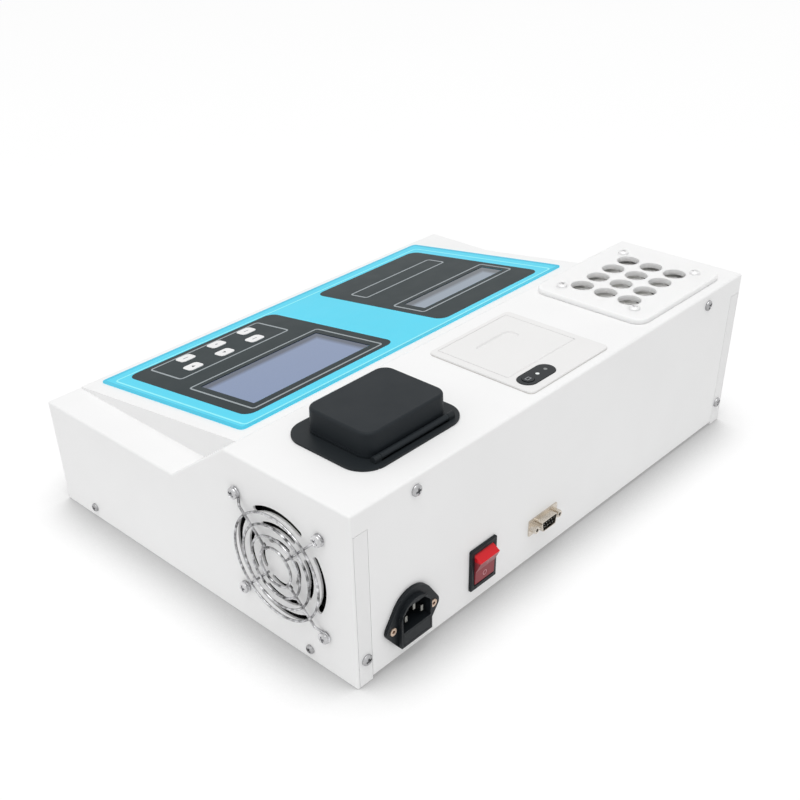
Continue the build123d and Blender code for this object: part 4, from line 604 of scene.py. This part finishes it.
def outline_in(rect, radius, inset=0.0):
    """Rounded outline of a rectangle given by its limits, drawn in from them."""
    left, right, upper, lower = rect
    middle = ((left + right) / 2, (upper + lower) / 2)
    return rounded(right - left - 2 * inset, lower - upper - 2 * inset, radius - inset, middle)


def circle(radius, steps=CIRCLE_STEPS):
    """Points round a circle."""
    turns = [2 * math.pi * step / steps for step in range(steps)]
    return [(radius * math.cos(turn), radius * math.sin(turn)) for turn in turns]


def arrow(size, angle):
    """Triangle pointing along an angle in degrees."""
    c, s = math.cos(math.radians(angle)), math.sin(math.radians(angle))
    back, half = -size * ARROW_BACK, size * ARROW_HALF
    return [(c * x - s * y, s * x + c * y) for x, y in ((size, 0), (back, half), (back, -half))]


# Pieces

def to_object(mesh, name):
    """Object of built geometry, linked to the scene."""
    data = bpy.data.meshes.new(name)
    mesh.to_mesh(data)
    mesh.free()
    thing = bpy.data.objects.new(name, data)
    bpy.context.scene.collection.objects.link(thing)
    return thing


def finish_piece(name, mesh, finish, body):
    """Turns built geometry into a flat-shaded piece that rides on a body."""
    piece = to_object(mesh, name)
    piece.data.shade_flat()
    piece.data.materials.append(materials[finish])
    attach(piece, body)
    return piece


def join_rings(mesh, lower, upper):
    """Faces between two rings of as many vertices."""
    for i in range(len(lower)):
        j = (i + 1) % len(lower)
        mesh.faces.new((lower[i], lower[j], upper[j], upper[i]))


def plane(x_way, y_way, z_way, origin):
    """4x4 matrix of a plane from the ways of its axes and its origin."""
    place = Matrix.Identity(4)
    for column, part in zip(place.col, (x_way, y_way, z_way, origin)):
        column.xyz = part
    return place


def plate(name, finish, body, place, outline, holes=(), thickness=FILM):
    """A thin flat piece with holes on the plane that the 4x4 matrix gives."""
    loops = [[Vector((*point, 0)) for point in loop] for loop in (outline, *holes)]
    flat = [point for loop in loops for point in loop]
    mesh = bmesh.new()
    top = [mesh.verts.new(place @ (point + Vector((0, 0, thickness)))) for point in flat]
    foot = [mesh.verts.new(place @ point) for point in flat]
    for a, b, c in tessellate_polygon(loops):
        mesh.faces.new((top[a], top[b], top[c]))
        mesh.faces.new((foot[c], foot[b], foot[a]))
    start = 0
    for loop in loops:
        end = start + len(loop)
        join_rings(mesh, foot[start:end], top[start:end])
        start = end
    bmesh.ops.recalc_face_normals(mesh, faces=mesh.faces)
    return finish_piece(name, mesh, finish, body)


# The console's prints

overlay_low, overlay_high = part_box("overlay_sheet")
console_normal = Vector((0, -math.sin(CONSOLE_SLOPE), math.cos(CONSOLE_SLOPE)))
down_slope = Vector((0, -math.cos(CONSOLE_SLOPE), -math.sin(CONSOLE_SLOPE)))
console_corner = Vector(
    (overlay_high.x, overlay_high.y - OVERLAY_THICKNESS * math.sin(CONSOLE_SLOPE), overlay_high.z)
)
overlay_width = overlay_high.x - overlay_low.x
overlay_length = (console_corner.y - overlay_low.y) / math.cos(CONSOLE_SLOPE)


def console_place(across, down, rise=0.0):
    """Plane on the overlay's top, its x away from the fan side and its y down the slope."""
    origin = console_corner - Vector((across, 0, 0)) + down_slope * down + console_normal * rise
    return plane((-1, 0, 0), down_slope, console_normal, origin)


def console_spot(node):
    """Middle of a node on the console, across and down the slope from the overlay's corner."""
    low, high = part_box(node)
    middle = (low + high) / 2 - console_corner
    return -middle.x, middle.dot(down_slope)


def frame_line(name, finish, rect, radius, rise=FILM, width=LINE_WIDTH):
    """A thin printed frame along a rectangle."""
    outer, inner = outline_in(rect, radius), outline_in(rect, radius, width)
    plate(name, finish, "case", console_place(0, 0, rise), outer, [inner])


def key_hole(key):
    """Hole in a printed panel that bares a key."""
    low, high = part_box(key)
    width = high.x - low.x + 2 * KEY_MARGIN
    length = (high.y - low.y) / math.cos(CONSOLE_SLOPE) + 2 * KEY_MARGIN
    return rounded(width, length, KEY_CORNER, console_spot(key))


def print_overlay():
    """Dark panels, frames and lines on the blue film."""
    whole = (0, overlay_width, 0, overlay_length)
    frame_line("overlay_edge_band", "overlay_edge", whole, OVERLAY_CORNER, rise=0, width=EDGE_BAND)
    frame_line("overlay_light_line", "overlay_light", LIGHT_LINE, OVERLAY_CORNER, rise=0)
    for name, panel, cell, keys in (
        ("keypad_panel", MAIN_PANEL, MAIN_CELL, KEYS),
        ("display_panel", SMALL_PANEL, SMALL_CELL, []),
    ):
        holes = [outline_in(cell, CELL_CORNER), *map(key_hole, keys)]
        plate(name, "panel_print", "case", console_place(0, 0), outline_in(panel, PANEL_CORNER), holes)
    frame_line("main_window_frame", "outline_print", MAIN_WINDOW, WINDOW_CORNER)
    frame_line("key_window_frame", "outline_print", KEY_WINDOW, WINDOW_CORNER)
    frame_line("name_window_frame", "outline_print", NAME_WINDOW, WINDOW_CORNER)
    frame_line("small_window_frame", "outline_print", SMALL_WINDOW, WINDOW_CORNER)


def print_keys():
    """A small sign on each key."""
    bar = ("pale_symbol", rounded(*KEY_BAR))
    signs = {
        "key_1": ("symbol_print", arrow(ARROW_DOWN, 90)),
        "key_2": ("symbol_print", arrow(ARROW_UP, 270)),
        "key_3": bar,
        "key_4": bar,
        "key_5": ("pale_symbol", circle(KEY_DOT)),
        "key_6": bar,
    }
    for key, (finish, outline) in signs.items():
        low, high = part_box(key)
        across, down = console_spot(key)
        place = console_place(across, down)
        top = place.inverted() @ Vector(((low.x + high.x) / 2, high.y, high.z))
        place = place @ Matrix.Translation((0, 0, top.z))
        plate(f"{key}_sign", finish, key, place, outline, thickness=KEY_INK)


# Screws

def cross_pan_head(radius, height):
    """Mesh of a pan head with a cross recess, its seat at z = 0."""
    head = bmesh.new()
    rings = [
        [head.verts.new((x, y, height * rise)) for x, y in circle(radius * share, HEAD_STEPS)]
        for share, rise in HEAD_PROFILE
    ]
    for lower, upper in zip(rings, rings[1:]):
        join_rings(head, lower, upper)
    head.faces.new(rings[-1])
    head.faces.new(rings[0][::-1])
    solid = to_object(head, "screw_head_form")
    cutter = bmesh.new()
    reach = radius * CROSS_REACH
    for width, length in ((reach * CROSS_ARM, reach), (reach, reach * CROSS_ARM)):
        wide = [(sx * width, sy * length) for sx, sy in QUADRANTS]
        narrow = [(x * CROSS_TAPER, y * CROSS_TAPER) for x, y in wide]
        rim = [cutter.verts.new((x, y, height * CROSS_ABOVE)) for x, y in wide]
        floor = [cutter.verts.new((x, y, height * CROSS_FLOOR)) for x, y in narrow]
        join_rings(cutter, floor, rim)
        cutter.faces.new(rim)
        cutter.faces.new(floor[::-1])
    tool = to_object(cutter, "screw_recess_form")
    cut = solid.modifiers.new("recess", "BOOLEAN")
    cut.operation = "DIFFERENCE"
    cut.object = tool
    # The two arms of the cross overlap
    cut.use_self = True
    shown = bpy.context.evaluated_depsgraph_get()
    made = bpy.data.meshes.new_from_object(solid.evaluated_get(shown))
    bpy.data.objects.remove(solid)
    bpy.data.objects.remove(tool)
    return made


def loose_parts(node):
    """Boxes of the separate solids of a node, as (low, high) pairs."""
    mesh = bmesh.new()
    mesh.from_mesh(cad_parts[node].data)
    bmesh.ops.remove_doubles(mesh, verts=mesh.verts, dist=WELD)
    mesh.verts.ensure_lookup_table()
    seen, boxes = set(), []
    for vert in mesh.verts:
        if vert.index in seen:
            continue
        group, queue = [], [vert]
        seen.add(vert.index)
        while queue:
            here = queue.pop()
            group.append(here.co.copy())
            for edge in here.link_edges:
                other = edge.other_vert(here)
                if other.index not in seen:
                    seen.add(other.index)
                    queue.append(other)
        low = Vector([min(values) for values in zip(*group)])
        high = Vector([max(values) for values in zip(*group)])
        boxes.append((low, high))
    mesh.free()
    return boxes


def screws_for(node, finish):
    """Replaces a node of plain screws with cross-headed ones in the same places."""
    joined = bmesh.new()
    for low, high in loose_parts(node):
        size, middle = high - low, (low + high) / 2
        axis = max(range(3), key=lambda i: size[i])
        radius = min(size) / 2
        shank = size[axis] - HEAD_HEIGHT
        outward = Vector((0, 0, 0))
        outward[axis] = 1.0 if middle[axis] > 0 else -1.0
        seat = middle.copy()
        seat[axis] = high[axis] if outward[axis] > 0 else low[axis]
        seat -= outward * HEAD_HEIGHT
        turn = FIRST_TURN + TURN_STEP * len(joined.verts) % 90
        place = Matrix.Translation(seat) @ outward.to_track_quat("Z", "Y").to_matrix().to_4x4()
        place = place @ Matrix.Rotation(math.radians(turn), 4, "Z")
        head = cross_pan_head(radius, HEAD_HEIGHT)
        head.transform(place)
        joined.from_mesh(head)
        bmesh.ops.create_cone(
            joined, cap_ends=True, segments=SHANK_STEPS, radius1=radius * SHANK, radius2=radius * SHANK,
            depth=shank, matrix=place @ Matrix.Translation((0, 0, -shank / 2)),
        )
        bpy.data.meshes.remove(head)
    piece = finish_piece(f"{node}_cross_headed", joined, finish, "case")
    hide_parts(node)


# Small marks

def strip_place(x, y, z):
    """Level plane, its x away from the fan side and its y to the front."""
    return plane((-1, 0, 0), (0, -1, 0), (0, 0, 1), (x, y, z))


def mark_printer():
    """Ring of painted shadow under the printer's bezel, and the sign on its feed button."""
    low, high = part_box("printer_housing")
    case_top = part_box("main_cover")[1].z
    middle, half = (low + high) / 2, (high - low) / 2
    bezel = (-half.x, half.x, -half.y, half.y)
    outer, inner = outline_in(bezel, BEZEL_CORNER, -BEZEL_SHADOW_OUT), outline_in(bezel, BEZEL_CORNER, BEZEL_SHADOW_IN)
    place = strip_place(middle.x, middle.y, case_top)
    # A grey ring that paints the shadow under the bezel's lip
    plate("printer_bezel_shadow", "edge_shadow", "case", place, outer, [inner], BEZEL_SHADOW_HEIGHT)
    low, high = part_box("feed_button")
    place = strip_place((low.x + high.x) / 2, (low.y + high.y) / 2, high.z)
    sheet, inside = rounded(*FEED_SHEET), rounded(*FEED_INSIDE)
    plate("feed_sign", "pale_symbol", "feed_button", place, sheet, [inside], FEED_INK)


def close_hinge_slot():
    """The web that closes the flange's slot from below, under the hinge barrel."""
    low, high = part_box("lid_hinge_pin")
    case_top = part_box("main_cover")[1].z
    place = strip_place((low.x + high.x) / 2, (low.y + high.y) / 2, case_top)
    web = rounded(*HINGE_WEB)
    plate("hinge_slot_web", "flange_plastic", "case", place, web, (), WEB_THICKNESS)


def flat_face(node, toward, part):
    """Plane on the largest flat face of a node that looks along toward, on the given part of it."""
    low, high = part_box(node)
    middle = (low + high) / 2
    facing = [
        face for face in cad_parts[node].data.polygons
        if face.normal.dot(toward) > FACING and (face.center - middle).dot(part) > 0
    ]
    largest = max(facing, key=lambda face: face.area)
    normal = largest.normal
    level = largest.center.dot(normal)
    group = [
        face for face in facing
        if face.normal.dot(normal) > PARALLEL and abs(face.center.dot(normal) - level) < LEVEL
    ]
    area = sum(face.area for face in group)
    centre = sum((face.center * face.area for face in group), Vector()) / area
    up = (Vector((0, 0, 1)) - normal * normal.z).normalized()
    return plane(up.cross(normal), up, normal, centre)


def mark_rocker():
    """The usual ring and bar of a mains switch on the rocker's two faces."""
    rear = Vector((0, 1, 0))
    lower = flat_face("rocker", rear, Vector((0, 0, -1)))
    upper = flat_face("rocker", rear, Vector((0, 0, 1)))
    ring, inside = map(circle, OFF_RING)
    plate("rocker_off_sign", "faint_print", "rocker", lower, ring, [inside], ROCKER_INK)
    plate("rocker_on_sign", "faint_print", "rocker", upper, rounded(*ON_BAR), (), ROCKER_INK)


# Floor, light and camera

def make_floor():
    """Pale floor that keeps the shadow and reads as white to the camera, except for a painted contact
    shadow beside the object.
    """
    mesh = bmesh.new()
    bmesh.ops.create_grid(mesh, x_segments=1, y_segments=1, size=FLOOR_SIZE)
    floor = to_object(mesh, "floor")
    material, tree, shader, place = start_material("floor_white", roughness=0.9, Specular_IOR_Level=0.1)
    paint(tree, shader, noise(tree, place, scale=3.0), FLOOR_DARK, FLOOR_LIGHT)
    near = grow(tree, "ShaderNodeAmbientOcclusion", Distance=SHADOW_REACH, samples=SHADOW_SAMPLES)
    glow = grow(tree, "ShaderNodeEmission")
    # Painted contact shadow: the glow dims where ambient occlusion finds the floor less open
    fade = map_range(tree, near.outputs["AO"], *OPEN_SPAN, *GLOW_SPAN, interpolation_type="SMOOTHSTEP")
    tree.links.new(fade, glow.inputs["Strength"])
    rays = grow(tree, "ShaderNodeLightPath")
    share = calculate(tree, "MULTIPLY", rays.outputs["Is Camera Ray"], FLOOR_GLOW)
    surface = mix_shaders(tree, share, shader.outputs["BSDF"], glow.outputs["Emission"])
    tree.links.new(surface, tree.nodes["Material Output"].inputs["Surface"])
    floor.data.materials.append(material)


def make_world():
    """White surroundings for the camera and for reflections, softer as a light."""
    world = bpy.data.worlds.new("studio")
    bpy.context.scene.world = world
    world.use_nodes = True
    tree = world.node_tree
    tree.nodes.clear()
    output = grow(tree, "ShaderNodeOutputWorld")
    lamp = grow(tree, "ShaderNodeBackground", Color=(*WHITE, 1), Strength=WORLD_LIGHT)
    seen = grow(tree, "ShaderNodeBackground", Color=(*WHITE, 1), Strength=1.0)
    rays = grow(tree, "ShaderNodeLightPath").outputs
    direct = calculate(tree, "MAXIMUM", rays["Is Camera Ray"], rays["Is Transmission Ray"])
    share = calculate(tree, "MAXIMUM", direct, rays["Is Glossy Ray"])
    surface = mix_shaders(tree, share, lamp.outputs["Background"], seen.outputs["Background"])
    tree.links.new(surface, output.inputs["Surface"])


def area_light(name, place, power):
    """A soft square lamp that points at the object."""
    data = bpy.data.lights.new(name, "AREA")
    data.size = LAMP_SIZE
    data.energy = power
    lamp = bpy.data.objects.new(name, data)
    lamp.location = place
    lamp.rotation_euler = (Vector(LAMP_TARGET) - Vector(place)).to_track_quat("-Z", "Y").to_euler()
    bpy.context.scene.collection.objects.link(lamp)


def make_camera():
    """Camera fitted to the photograph."""
    data = bpy.data.cameras.new("camera")
    data.sensor_width = SENSOR_WIDTH
    data.lens = LENS
    data.shift_x = SHIFT_X
    data.shift_y = SHIFT_Y
    camera = bpy.data.objects.new("camera", data)
    right = Vector(CAMERA_RIGHT).normalized()
    forward = Vector(CAMERA_FORWARD)
    forward = (forward - right * forward.dot(right)).normalized()
    turn = Matrix((right, right.cross(forward), -forward)).transposed()
    camera.matrix_world = Matrix.Translation(CAMERA_PLACE) @ turn.to_4x4()
    bpy.context.scene.collection.objects.link(camera)
    bpy.context.scene.camera = camera


# The scene

materials = make_materials()
dress_nodes()
print_overlay()
print_keys()
screws_for("cover_screws", "screw_steel")
screws_for("fan_screws", "bright_steel")
screws_for("block_screws", "pale_steel")
mark_printer()
close_hinge_slot()
mark_rocker()
bpy.context.scene.view_settings.view_transform = "Standard"
make_floor()
make_world()
area_light("key_light", MAIN_LAMP, MAIN_POWER)
area_light("fill_light", FILL_LAMP, FILL_POWER)
make_camera()
